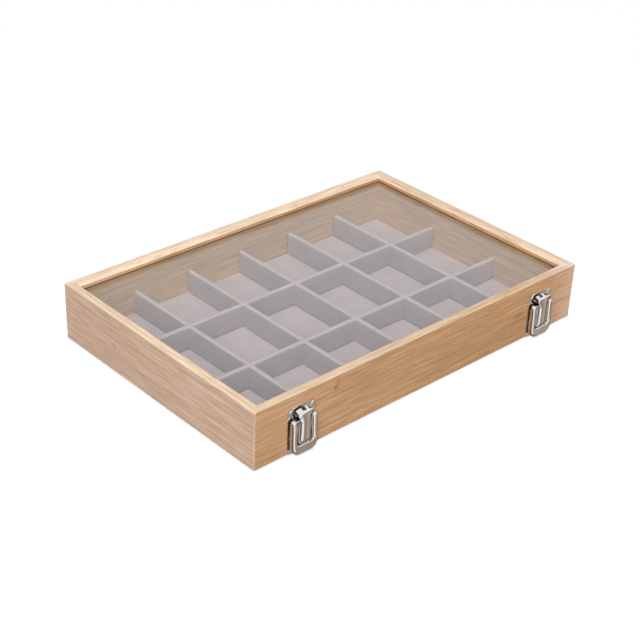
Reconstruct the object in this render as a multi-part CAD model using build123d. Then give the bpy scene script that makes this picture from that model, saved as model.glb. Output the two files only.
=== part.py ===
from build123d import *
import os

# Glass-lidded jewelry tray: a mitred bamboo box with velvet-covered dividers, a lid that
# frames a glass pane, two draw latches on the front and two butt hinges on the back.
# Millimetres, +Z up. The origin is the centre of the underside, X runs along the long
# side, and the latches are on the front, at -Y.

# Whole tray
tray_length = 350.0
tray_width = 236.0
tray_height = 50.0
seam_height = 25.0
seam_gap = 0.3
board_thickness = 8.8
edge_ease = 1.0
overrun = 2.0
quarter_turn = 90

# Floor of the box
base_panel_thickness = 3.0
rabbet_depth = 4.4
panel_clearance = 0.15
lining_thickness = 1.2
lining_clearance = 0.2

# Dividers, halved into each other where they cross
column_count = 6
row_count = 3
divider_thickness = 4.4
divider_from_rim = 0.25
divider_round = 1.7
divider_end_clearance = 0.2
halving_clearance = 0.1

# Lid
bevel_width = 1.9
bevel_depth = 2.7
glass_recess = 6.0
glass_thickness = 2.0
glass_edge_clearance = 0.5
groove_depth = 3.5
groove_clearance = 0.2

# Nails and screws, domed, in blind holes
nail_head_radius = 1.75
nail_head_height = 0.6
nail_shank_radius = 0.7
nail_length = 6.5
nail_point = 1.2
nail_clearance = 0.05

# Latch plates, with heights measured up from the seam
latch_from_end = 43.7
plate_sheet = 0.9
plate_half_width = 13.75
plate_corner = 3.5
plate_from_seam = 0.4
catch_plate_height = 14.4
base_plate_height = 24.0
catch_nail_side_inset = 3.35
catch_nail_top_inset = 2.9
base_nail_top_inset = 3.0
base_nail_foot_inset = 3.8

# Catch: a lip lanced out of the upper plate and turned up
lip_sheet = 0.8
lip_half_width = 5.5
lip_reach = 4.3
lip_root_height = 6.4
lip_top_height = 11.4
lip_bend = 0.9
lance_clearance = 0.3
lance_margin = 1.4

# Pivots of the lever and of the draw hook
pivot_reach = 3.5
pivot_height = 3.2
hook_pivot_reach = 2.1
hook_pivot_drop = 8.8
pin_radius = 0.5
pin_clearance = 0.05
pin_head_radius = 0.9
pin_head_thickness = 0.4

# Ears of the lower plate, which carry the lever
ear_sheet = 0.7
ear_round = 1.4
ear_foot_drop = 6.2
ear_shoulder_drop = 0.8
ear_shoulder_reach = 1.6
relief_clearance = 0.4

# Lever: a pressed frame, open at the top, with a flared foot
lever_sheet = 0.8
lever_half_width = 12.3
lever_top_height = 5.4
lever_foot_drop = 23.4
lever_top_reach = 4.9
lever_mid_reach = 5.4
lever_foot_reach = 7.0
lever_flare_drop = 15.0
lever_rim_reach = 2.3
lever_foot_rim_reach = 4.2
lever_heel = 1.2
lever_top_corner = 4.5
lever_foot_corner = 6.0
window_sill_drop = 16.8
window_corner = 1.2
lug_round = 1.2
lug_spread = 2.4

# Draw hook: a tongue in the lever's window that curls over the lip
hook_sheet = 0.8
curl_radius = 2.5
curl_setback = 0.2
curl_drop = 1.0
curl_turn = 150.0
curl_half_width = 7.3
curl_shoulder_drop = 2.2
curl_neck_drop = 4.4
tongue_half_width = 5.75
waist_half_width = 5.5
latch_side_clearance = 0.35
tongue_high_reach = 6.1
tongue_mid_reach = 5.9
tongue_tip_reach = 4.4
tongue_high_height = 5.0
waist_drop = 4.0
tongue_bend_drop = 11.5
tongue_tip_drop = 16.0
tongue_bend_radius = 12.0
tongue_corner = 2.0
hook_ear_sheet = 0.7
hook_ear_round = 1.2
hook_ear_spread = 2.6

# Butt hinges
hinge_from_end = 70.0
hinge_width = 28.0
hinge_sheet = 0.8
leaf_height = 11.0
leaf_relief = 2.3
leaf_corner = 1.5
web_height = 3.0
barrel_radius = 1.8
barrel_clearance = 0.4
knuckle_count = 5
knuckle_gap = 0.3
hinge_pin_radius = 0.8
hinge_pin_head_radius = 1.3
hinge_pin_head_thickness = 0.5
screw_offset = 9.0
screw_from_seam = 7.2

# Derived places
inner_length = tray_length - 2 * board_thickness
inner_width = tray_width - 2 * board_thickness
box_rim_height = seam_height - seam_gap / 2
lid_rim_height = seam_height + seam_gap / 2
lining_top = base_panel_thickness + lining_thickness
divider_height = box_rim_height - divider_from_rim - lining_top
divider_middle = lining_top + divider_height / 2
column_pitch = (inner_length + divider_thickness) / column_count
row_pitch = (inner_width + divider_thickness) / row_count
slot_width = divider_thickness + 2 * halving_clearance
latch_offset = tray_length / 2 - latch_from_end
hinge_offset = tray_length / 2 - hinge_from_end
groove_floor = tray_height - glass_recess - glass_thickness
groove_top = tray_height - glass_recess + groove_clearance
catch_plate_top = plate_from_seam + catch_plate_height
base_plate_foot = -plate_from_seam - base_plate_height
ear_inner = tongue_half_width + latch_side_clearance
ear_outer = ear_inner + ear_sheet
window_half_width = ear_outer + latch_side_clearance
flange_outer = window_half_width + lever_sheet
curl_height = lip_top_height - curl_drop
curl_front_reach = lip_reach - curl_setback + curl_radius
barrel_reach = barrel_clearance + barrel_radius
knuckle_length = (hinge_width - (knuckle_count - 1) * knuckle_gap) / knuckle_count
pivot = (pivot_reach, pivot_height)
hook_pivot = (hook_pivot_reach, -hook_pivot_drop)

# Planes: local X of the side plane points out of the front, and its Y points up
front_plane = Plane(origin=(0, -tray_width / 2, seam_height), x_dir=(1, 0, 0), z_dir=(0, -1, 0))
side_plane = Plane(origin=(0, -tray_width / 2, seam_height), x_dir=(0, -1, 0), z_dir=(-1, 0, 0))
back_plane = Plane(origin=(0, tray_width / 2, seam_height), x_dir=(-1, 0, 0), z_dir=(0, 1, 0))
hinge_plane = Plane(origin=(0, tray_width / 2, seam_height), x_dir=(0, 1, 0), z_dir=(1, 0, 0))


def raised(plane, outline, start, stop):
    """Give an outline on a plane a thickness, from start to stop along the plane's normal."""
    return extrude(plane.offset(start) * outline, amount=stop - start, dir=plane.z_dir)


def across(profile, start, stop):
    """Run a latch profile along X from start to stop."""
    return raised(side_plane, profile, -stop, -start)


def both_sides(profile, inner, outer):
    """Run a latch profile over inner to outer on each side of the latch's middle."""
    return across(profile, inner, outer) + across(profile, -outer, -inner)


def span(low, high, half_width):
    """A rectangle of the given half width between two heights."""
    return Pos(0, (low + high) / 2) * Rectangle(2 * half_width, high - low)


def corners_rounded(outline, radius, at_top):
    """Round the two top or the two bottom corners of an outline."""
    corners = outline.vertices().sort_by(Axis.Y)
    chosen = corners[-2:] if at_top else corners[:2]
    return fillet(chosen, radius)


def cross_pin(centre, radius, half_length):
    """A round bar along X through a point of the latch's side plane."""
    return across(Pos(*centre) * Circle(radius), -half_length, half_length)


def nail():
    """A domed nail that points down, with the underside of its head at the origin."""
    with BuildPart() as made:
        with BuildSketch(Plane.XZ):
            with BuildLine():
                TangentArc((0, nail_head_height), (nail_head_radius, 0), tangent=(1, 0))
                Polyline(
                    (nail_head_radius, 0),
                    (nail_shank_radius, 0),
                    (nail_shank_radius, nail_point - nail_length),
                    (0, -nail_length),
                    (0, nail_head_height),
                )
            make_face()
        revolve(axis=Axis.Z)
    return made.part


def nail_hole():
    """The blind hole that a nail sits in."""
    depth = nail_length + nail_clearance
    return Pos(0, 0, -depth / 2) * Cylinder(nail_shank_radius + nail_clearance, depth)


def placed(shape, plane, points):
    """Copy a shape to points on a plane, as one group."""
    group = Part()
    for point in points:
        group += plane * Pos(*point) * shape
    return group


def rail(section, half_run, half_across, turn):
    """A mitred board: its section runs along one side of the tray and is cut at 45 degrees."""
    plane = Plane(origin=(0, -half_across, 0), x_dir=(0, 1, 0), z_dir=(1, 0, 0))
    board = extrude(plane * section, amount=half_run, both=True)
    mitre = Polygon(
        (-half_run, -half_across),
        (half_run, -half_across),
        (half_run - board_thickness, board_thickness - half_across),
        (board_thickness - half_run, board_thickness - half_across),
        align=None,
    )
    board &= raised(Plane.XY, mitre, 0, tray_height)
    return (Rot(0, 0, turn) * board) & eased_block()


def eased_block():
    """The outer form of the closed tray, with every edge eased."""
    block = Pos(0, 0, tray_height / 2) * Box(tray_length, tray_width, tray_height)
    return fillet(block.edges(), edge_ease)


def four_rails(section, names):
    """The front, right, back and left boards of a frame."""
    runs = [(tray_length / 2, tray_width / 2), (tray_width / 2, tray_length / 2)] * 2
    made = {}
    for number, name in enumerate(names):
        half_run, half_across = runs[number]
        made[name] = rail(section, half_run, half_across, number * quarter_turn)
    return made


def box_boards():
    """The box's boards, with a rabbet for the panel that closes the underside."""
    section = Polygon(
        (0, 0),
        (board_thickness - rabbet_depth, 0),
        (board_thickness - rabbet_depth, base_panel_thickness),
        (board_thickness, base_panel_thickness),
        (board_thickness, box_rim_height),
        (0, box_rim_height),
        align=None,
    )
    return four_rails(section, ["front_board", "right_board", "back_board", "left_board"])


def lid_rails():
    """The lid's rails, bevelled inside their top, with a groove for the glass."""
    section = Polygon(
        (0, lid_rim_height),
        (board_thickness, lid_rim_height),
        (board_thickness, groove_floor),
        (board_thickness - groove_depth, groove_floor),
        (board_thickness - groove_depth, groove_top),
        (board_thickness, groove_top),
        (board_thickness, tray_height - bevel_depth),
        (board_thickness - bevel_width, tray_height),
        (0, tray_height),
        align=None,
    )
    return four_rails(section, ["lid_front_rail", "lid_right_rail", "lid_back_rail", "lid_left_rail"])


def slab(length, width, low, thickness):
    """A flat panel centred on the tray, standing on a height."""
    return Pos(0, 0, low + thickness / 2) * Box(length, width, thickness)


def floor_and_glass():
    """The underside panel, the lining on it and the pane in the lid."""
    panel_margin = 2 * (rabbet_depth - panel_clearance)
    glass_margin = 2 * (groove_depth - glass_edge_clearance)
    return {
        "base_panel": slab(
            inner_length + panel_margin, inner_width + panel_margin, 0, base_panel_thickness
        ),
        "floor_lining": slab(
            inner_length - 2 * lining_clearance,
            inner_width - 2 * lining_clearance,
            base_panel_thickness,
            lining_thickness,
        ),
        "glass_pane": slab(
            inner_length + glass_margin, inner_width + glass_margin, groove_floor, glass_thickness
        ),
    }


def divider(length):
    """A divider with a rounded top that runs along X and stands on the lining."""
    section = corners_rounded(span(0, divider_height, divider_thickness / 2), divider_round, True)
    plane = Plane(origin=(0, 0, lining_top), x_dir=(0, 1, 0), z_dir=(1, 0, 0))
    return extrude(plane * section, amount=length / 2, both=True)


def halving_slots(places, low, high):
    """Slots across a divider that runs along X, at the given places along it."""
    slots = Part()
    for place in places:
        width = divider_thickness + overrun
        slots += Pos(place, 0, (low + high) / 2) * Box(slot_width, width, high - low)
    return slots


def dividers():
    """The five cross dividers, slotted from above, and the two long ones, from below."""
    column_places = [(n - column_count / 2) * column_pitch for n in range(1, column_count)]
    row_places = [(n - row_count / 2) * row_pitch for n in range(1, row_count)]
    short = divider(inner_width - 2 * divider_end_clearance)
    short -= halving_slots(row_places, divider_middle, lining_top + divider_height + overrun)
    long = divider(inner_length - 2 * divider_end_clearance)
    long -= halving_slots(column_places, lining_top - overrun, divider_middle)
    made = {}
    for number, place in enumerate(column_places, start=1):
        made[f"cross_divider_{number}"] = Pos(place, 0) * Rot(0, 0, quarter_turn) * short
    for name, place in zip(["long_divider_front", "long_divider_back"], row_places):
        made[name] = Pos(0, place) * long
    return made


def catch_plate():
    """The upper latch plate, with the lip that the hook pulls on."""
    outline = span(plate_from_seam, catch_plate_top, plate_half_width)
    outline = corners_rounded(outline, plate_corner, True)
    plate = raised(front_plane, outline, 0, plate_sheet)
    window = span(
        lip_root_height + lip_sheet / 2,
        lip_top_height + lance_margin,
        lip_half_width + lance_clearance,
    )
    plate -= raised(front_plane, window, -overrun, plate_sheet + overrun)
    path = FilletPolyline(
        (plate_sheet / 2, lip_root_height),
        (lip_reach, lip_root_height),
        (lip_reach, lip_top_height),
        radius=lip_bend,
    )
    plate += across(trace(path, line_width=lip_sheet), -lip_half_width, lip_half_width)
    return plate


def base_plate():
    """The lower latch plate, with two ears for the lever and a relief behind the hook's pivot."""
    outline = span(base_plate_foot, -plate_from_seam, plate_half_width)
    outline = corners_rounded(outline, plate_corner, False)
    plate = raised(front_plane, outline, 0, plate_sheet)
    relief = span(
        -hook_pivot_drop - lug_spread,
        -ear_foot_drop - relief_clearance,
        flange_outer + relief_clearance,
    )
    plate -= raised(front_plane, relief, -overrun, plate_sheet + overrun)
    ear = Pos(*pivot) * Circle(ear_round) + Polygon(
        (plate_sheet / 2, -ear_foot_drop),
        (plate_sheet / 2, -ear_shoulder_drop),
        (ear_shoulder_reach, -ear_shoulder_drop),
        (pivot_reach - ear_round, pivot_height),
        (pivot_reach + ear_round, pivot_height),
        (pivot_reach, -ear_foot_drop),
        align=None,
    )
    plate += both_sides(ear, ear_inner, ear_outer)
    return plate - cross_pin(pivot, pin_radius, plate_half_width)


def lever():
    """The lever: a pressed shell with a turned rim, a flanged window and lugs for the hook pin."""
    outline = span(-lever_foot_drop, lever_top_height, lever_half_width)
    outline = corners_rounded(outline, lever_top_corner, True)
    outline = corners_rounded(outline, lever_foot_corner, False)
    window = span(-window_sill_drop, lever_top_height + overrun, window_half_width)
    window = corners_rounded(window, window_corner, False)
    profile = lever_profile(0, lever_rim_reach, lever_foot_rim_reach, lever_heel)
    hollow = lever_profile(lever_sheet, -overrun, -overrun, 0)
    reach = lever_foot_reach + overrun
    shell = across(profile, -lever_half_width, lever_half_width)
    shell &= raised(front_plane, outline, 0, reach)
    inside = across(hollow, -lever_half_width, lever_half_width)
    inside &= raised(front_plane, offset(outline, amount=-lever_sheet), -overrun, reach)
    inside -= raised(front_plane, offset(window, amount=lever_sheet), -overrun, reach)
    made = shell - inside - raised(front_plane, window, -overrun, reach)
    lug_foot = lever_rim_reach + lever_sheet
    lug = Pos(*hook_pivot) * Circle(lug_round) + Polygon(
        (lug_foot, -hook_pivot_drop - lug_spread),
        (hook_pivot_reach, -hook_pivot_drop - lug_round),
        (hook_pivot_reach, -hook_pivot_drop + lug_round),
        (lug_foot, -hook_pivot_drop + lug_spread),
        align=None,
    )
    made += both_sides(lug, window_half_width, flange_outer)
    made -= cross_pin(pivot, pin_radius + pin_clearance, flange_outer)
    return made - cross_pin(hook_pivot, pin_radius, flange_outer)


def lever_profile(inset, rim_reach, foot_rim_reach, heel):
    """The lever seen from its side: its face is set back by inset, its heel is cut at 45 degrees."""
    profile = Polygon(
        (lever_top_reach - inset, lever_top_height),
        (lever_mid_reach - inset, -lever_flare_drop),
        (lever_foot_reach - inset, -lever_foot_drop),
        (foot_rim_reach, -lever_foot_drop),
        (rim_reach, -lever_flare_drop),
        (rim_reach, lever_top_height),
        align=None,
    )
    if heel > 0:
        profile = chamfer(profile.vertices().sort_by(Axis.Y)[-2:].sort_by(Axis.X)[0], heel)
    return profile


def draw_hook():
    """The draw hook: a tongue that widens at its top and curls back over the lip."""
    curl_centre = (curl_front_reach - curl_radius, curl_height)
    path = CenterArc(curl_centre, curl_radius, 0, curl_turn) + FilletPolyline(
        (curl_front_reach, curl_height),
        (tongue_high_reach, tongue_high_height),
        (tongue_mid_reach, -waist_drop),
        (tongue_mid_reach, -tongue_bend_drop),
        (tongue_tip_reach, -tongue_tip_drop),
        radius=tongue_bend_radius,
    )
    made = across(trace(path, line_width=hook_sheet), -curl_half_width, curl_half_width)
    top = curl_height + curl_radius + overrun
    right = [
        (curl_half_width, top),
        (curl_half_width, curl_height - curl_shoulder_drop),
        (tongue_half_width, curl_height - curl_neck_drop),
        (waist_half_width, -waist_drop),
        (tongue_half_width, -tongue_bend_drop),
        (tongue_half_width, -tongue_tip_drop - hook_sheet),
    ]
    left = [(-x, z) for x, z in reversed(right)]
    outline = corners_rounded(Polygon(*right, *left, align=None), tongue_corner, False)
    made &= raised(front_plane, outline, 0, curl_front_reach + overrun)
    ear = Pos(*hook_pivot) * Circle(hook_ear_round) + Polygon(
        (tongue_mid_reach, -hook_pivot_drop - hook_ear_spread),
        (hook_pivot_reach, -hook_pivot_drop - hook_ear_round),
        (hook_pivot_reach, -hook_pivot_drop + hook_ear_round),
        (tongue_mid_reach, -hook_pivot_drop + hook_ear_spread),
        align=None,
    )
    made += both_sides(ear, waist_half_width - hook_ear_sheet, waist_half_width)
    return made - cross_pin(hook_pivot, pin_radius + pin_clearance, waist_half_width)


def hook_pin():
    """The pin fixed in the lever's lugs, with a flat head outside each."""
    head = Pos(*hook_pivot) * Circle(pin_head_radius)
    heads = both_sides(head, flange_outer, flange_outer + pin_head_thickness)
    return cross_pin(hook_pivot, pin_radius, flange_outer) + heads


def latch_nail_points(side):
    """Places of the catch plate's and base plate's nails on one side, on the front plane."""
    middle = side * latch_offset
    reach = plate_half_width - catch_nail_side_inset
    height = catch_plate_top - catch_nail_top_inset
    catch = [(middle + turn * reach, height) for turn in (-1, 1)]
    base = [
        (middle, -plate_from_seam - base_nail_top_inset),
        (middle, base_plate_foot + base_nail_foot_inset),
    ]
    return catch, base


def hinge_leaf(direction, knuckles):
    """One leaf: direction 1 goes up on the lid and -1 goes down on the box."""
    levels = sorted([direction * leaf_relief, direction * leaf_height])
    outline = corners_rounded(span(*levels, hinge_width / 2), leaf_corner, direction > 0)
    leaf = raised(back_plane, outline, 0, hinge_sheet)
    web_levels = sorted([0, direction * web_height])
    for number in knuckles:
        start = -hinge_width / 2 + number * (knuckle_length + knuckle_gap)
        web = span(*web_levels, knuckle_length / 2)
        web = Pos(-start - knuckle_length / 2, 0) * web
        leaf += raised(back_plane, web, barrel_clearance, barrel_clearance + hinge_sheet)
        barrel = Pos(barrel_reach, 0) * Circle(barrel_radius)
        leaf += raised(hinge_plane, barrel, start, start + knuckle_length)
    return leaf


def hinge_pin():
    """The hinge pin, with a round head at each end."""
    bar = Pos(barrel_reach, 0) * Circle(hinge_pin_radius)
    head = Pos(barrel_reach, 0) * Circle(hinge_pin_head_radius)
    end = hinge_width / 2
    made = raised(hinge_plane, bar, -end, end)
    made += raised(hinge_plane, head, end, end + hinge_pin_head_thickness)
    return made + raised(hinge_plane, head, -end - hinge_pin_head_thickness, -end)


def hinge_bore(clearance):
    """The bore of the knuckles."""
    bar = Pos(barrel_reach, 0) * Circle(hinge_pin_radius + clearance)
    return raised(hinge_plane, bar, -hinge_width / 2, hinge_width / 2)


def screw_points(direction):
    """Places of the screws of both hinges, on the back plane."""
    middles = (-hinge_offset, hinge_offset)
    return [
        (middle + turn * screw_offset, direction * screw_from_seam)
        for middle in middles
        for turn in (-1, 1)
    ]


def build():
    """Make every piece, by name."""
    parts = {**box_boards(), **lid_rails(), **floor_and_glass(), **dividers()}
    plate_face = front_plane.offset(plate_sheet)
    leaf_face = back_plane.offset(hinge_sheet)
    catch_points, base_points = [], []
    for side, name in ((-1, "left"), (1, "right")):
        shift = Pos(side * latch_offset, 0)
        catch, base = latch_nail_points(side)
        catch_points += catch
        base_points += base
        parts[f"latch_catch_{name}"] = shift * catch_plate()
        parts[f"latch_base_{name}"] = shift * base_plate()
        parts[f"latch_lever_{name}"] = shift * lever()
        parts[f"draw_hook_{name}"] = shift * draw_hook()
        parts[f"lever_pin_{name}"] = shift * cross_pin(pivot, pin_radius, flange_outer)
        parts[f"hook_pin_{name}"] = shift * hook_pin()
        swing = Pos(side * hinge_offset, 0)
        box_leaf = hinge_leaf(-1, range(0, knuckle_count, 2)) - hinge_bore(0)
        lid_leaf = hinge_leaf(1, range(1, knuckle_count, 2)) - hinge_bore(pin_clearance)
        parts[f"hinge_box_leaf_{name}"] = swing * box_leaf
        parts[f"hinge_lid_leaf_{name}"] = swing * lid_leaf
        parts[f"hinge_pin_{name}"] = swing * hinge_pin()

    groups = {
        "latch_catch_nails": (plate_face, catch_points, "latch_catch", "lid_front_rail"),
        "latch_base_nails": (plate_face, base_points, "latch_base", "front_board"),
        "hinge_lid_screws": (leaf_face, screw_points(1), "hinge_lid_leaf", "lid_back_rail"),
        "hinge_box_screws": (leaf_face, screw_points(-1), "hinge_box_leaf", "back_board"),
    }
    for group, (face, points, plates, board) in groups.items():
        parts[group] = placed(nail(), face, points)
        holes = placed(nail_hole(), face, points)
        for name in (board, f"{plates}_left", f"{plates}_right"):
            parts[name] -= holes
    return parts


os.makedirs("parts", exist_ok=True)
for node, shape in build().items():
    export_step(shape, f"parts/{node}.step")
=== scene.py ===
"""Looks of the glass-lidded bamboo jewelry tray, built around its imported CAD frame."""

import logging
import math
from collections.abc import Callable
from dataclasses import dataclass
from enum import Enum

import bmesh
import bpy
from mathutils import Matrix, Vector, noise


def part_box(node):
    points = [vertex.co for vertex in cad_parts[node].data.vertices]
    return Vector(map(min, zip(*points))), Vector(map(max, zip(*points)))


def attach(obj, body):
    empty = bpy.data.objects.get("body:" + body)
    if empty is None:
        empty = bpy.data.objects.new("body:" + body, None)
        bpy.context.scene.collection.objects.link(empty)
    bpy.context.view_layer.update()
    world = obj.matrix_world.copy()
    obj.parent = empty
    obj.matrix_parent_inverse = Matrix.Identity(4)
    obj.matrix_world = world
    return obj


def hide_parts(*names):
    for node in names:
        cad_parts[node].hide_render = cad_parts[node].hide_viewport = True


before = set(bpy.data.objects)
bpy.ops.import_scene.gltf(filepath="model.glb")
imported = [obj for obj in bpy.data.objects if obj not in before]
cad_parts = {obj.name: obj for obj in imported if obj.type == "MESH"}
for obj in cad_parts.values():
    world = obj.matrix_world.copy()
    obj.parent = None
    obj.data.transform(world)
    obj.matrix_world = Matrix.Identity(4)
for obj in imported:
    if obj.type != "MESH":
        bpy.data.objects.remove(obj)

LOG = logging.getLogger("tray")
MM = 0.001

# The left boards' tone, a little pinker than that of the others
PINKISH_SIDE = "#F6D2B7"

# The sides' tone inside the box: painted shade for the dim light within its walls
INSIDE_SHADE_TONE = "#CAAB8A"

# Painted shade for the bottom of the pane's groove, where no light reaches
GROOVE_SHADE = "#8A6C4C"

# How much deeper the front boards are at their right end
FRONT_DRIFT = (0.95, 0.91, 0.82)

# How much paler and pinker they are just at the right corner
FRONT_END = (1.27, 1.36, 1.68)

# Where the lid's rails end towards the middle, a little inside their groove's mouth
GROOVE_MOUTH = Vector((167.0 * MM, 110.0 * MM))

# How near a level a corner lies to be taken as on it
ON_LEVEL = 0.3 * MM

# The part of a noise's range that most of its values fill
NOISE_LOW, NOISE_HIGH = 0.28, 0.72

# Sockets of a colour Mix node
MIX_FACTOR, MIX_A, MIX_B, MIX_RESULT = 0, 6, 7, 2

Socket = bpy.types.NodeSocket
Tree = bpy.types.NodeTree


class Grain(Enum):
    """Which way a board's fibres run."""

    ALONG_X = 0.0
    ALONG_Y = -90.0


class Side(Enum):
    """The left and the right half of the tray, seen from the front."""

    LEFT = -1
    RIGHT = 1

    @property
    def word(self) -> str:
        """The word that ends the names of this side's nodes."""
        return self.name.lower()


def linear(colour: str) -> tuple[float, float, float, float]:
    """Turn an sRGB hex colour into a linear one.

    Args:
        colour: the colour as "#RRGGBB".

    Returns:
        Linear red, green, blue, and an alpha of 1.
    """
    parts = [int(colour[n : n + 2], 16) / 255 for n in (1, 3, 5)]
    lit = [p / 12.92 if p <= 0.04045 else ((p + 0.055) / 1.055) ** 2.4 for p in parts]
    return (*lit, 1.0)


def add(tree: Tree, kind: str, inputs: dict | None = None, **settings: object) -> bpy.types.Node:
    """Add a node to a tree with its settings, its values and its links.

    Args:
        tree: the tree that gets the node.
        kind: Blender's name of the node type.
        inputs: a value, or what to link from, by the input's name or number: a socket, or a
            node for its first output.
        **settings: the node's own properties.

    Returns:
        The new node.
    """
    node = tree.nodes.new(kind)
    for name, value in settings.items():
        setattr(node, name, value)
    for key, value in (inputs or {}).items():
        if isinstance(value, bpy.types.Node):
            value = value.outputs[0]
        if isinstance(value, Socket):
            tree.links.new(value, node.inputs[key])
        else:
            node.inputs[key].default_value = value
    return node


def empty_material(name: str) -> tuple[bpy.types.Material, Tree]:
    """Make a material with an empty node tree.

    Args:
        name: the material's name.

    Returns:
        The material and its tree.
    """
    material = bpy.data.materials.new(name)
    material.use_nodes = True
    material.node_tree.nodes.clear()
    return material, material.node_tree


def streaks(tree: Tree, vector: Socket, length: float, width: float, detail: float = 2.0) -> Socket:
    """Add a noise that is drawn out along X.

    Args:
        tree: the material's tree.
        vector: coordinates in metres, with the grain along X.
        length: how long a streak is, in millimetres.
        width: how wide a streak is, in millimetres.
        detail: how many finer octaves the noise has.

    Returns:
        The noise's value, about 0.5 on average.
    """
    scale = (1 / (length * MM), 1 / (width * MM), 1 / (width * MM))
    drawn = add(tree, "ShaderNodeVectorMath", {0: vector, 1: scale}, operation="MULTIPLY")
    noise = add(tree, "ShaderNodeTexNoise", {"Vector": drawn, "Scale": 1.0, "Detail": detail})
    return noise.outputs["Fac"]


def ranged(
    tree: Tree, value: Socket, low: float, high: float, start: float | Socket, end: float
) -> Socket:
    """Map a value from low to high onto start to end, held at both ends.

    Args:
        tree: the material's tree.
        value: the value to map.
        low: the lowest value read.
        high: the highest value read.
        start: what low becomes, a number or a socket.
        end: what high becomes.

    Returns:
        The mapped value.
    """
    node = add(tree, "ShaderNodeMapRange", {0: value, 1: low, 2: high, 3: start, 4: end})
    return node.outputs[0]


@dataclass(frozen=True)
class DarkSpot:
    """A dark spot for a scar and for painted shade: its middle on the tray and half axes, in
    millimetres.
    """

    x: float
    y: float
    z: float
    along: float = 5.0
    over: float = 2.4
    depth: float = 0.4


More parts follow.
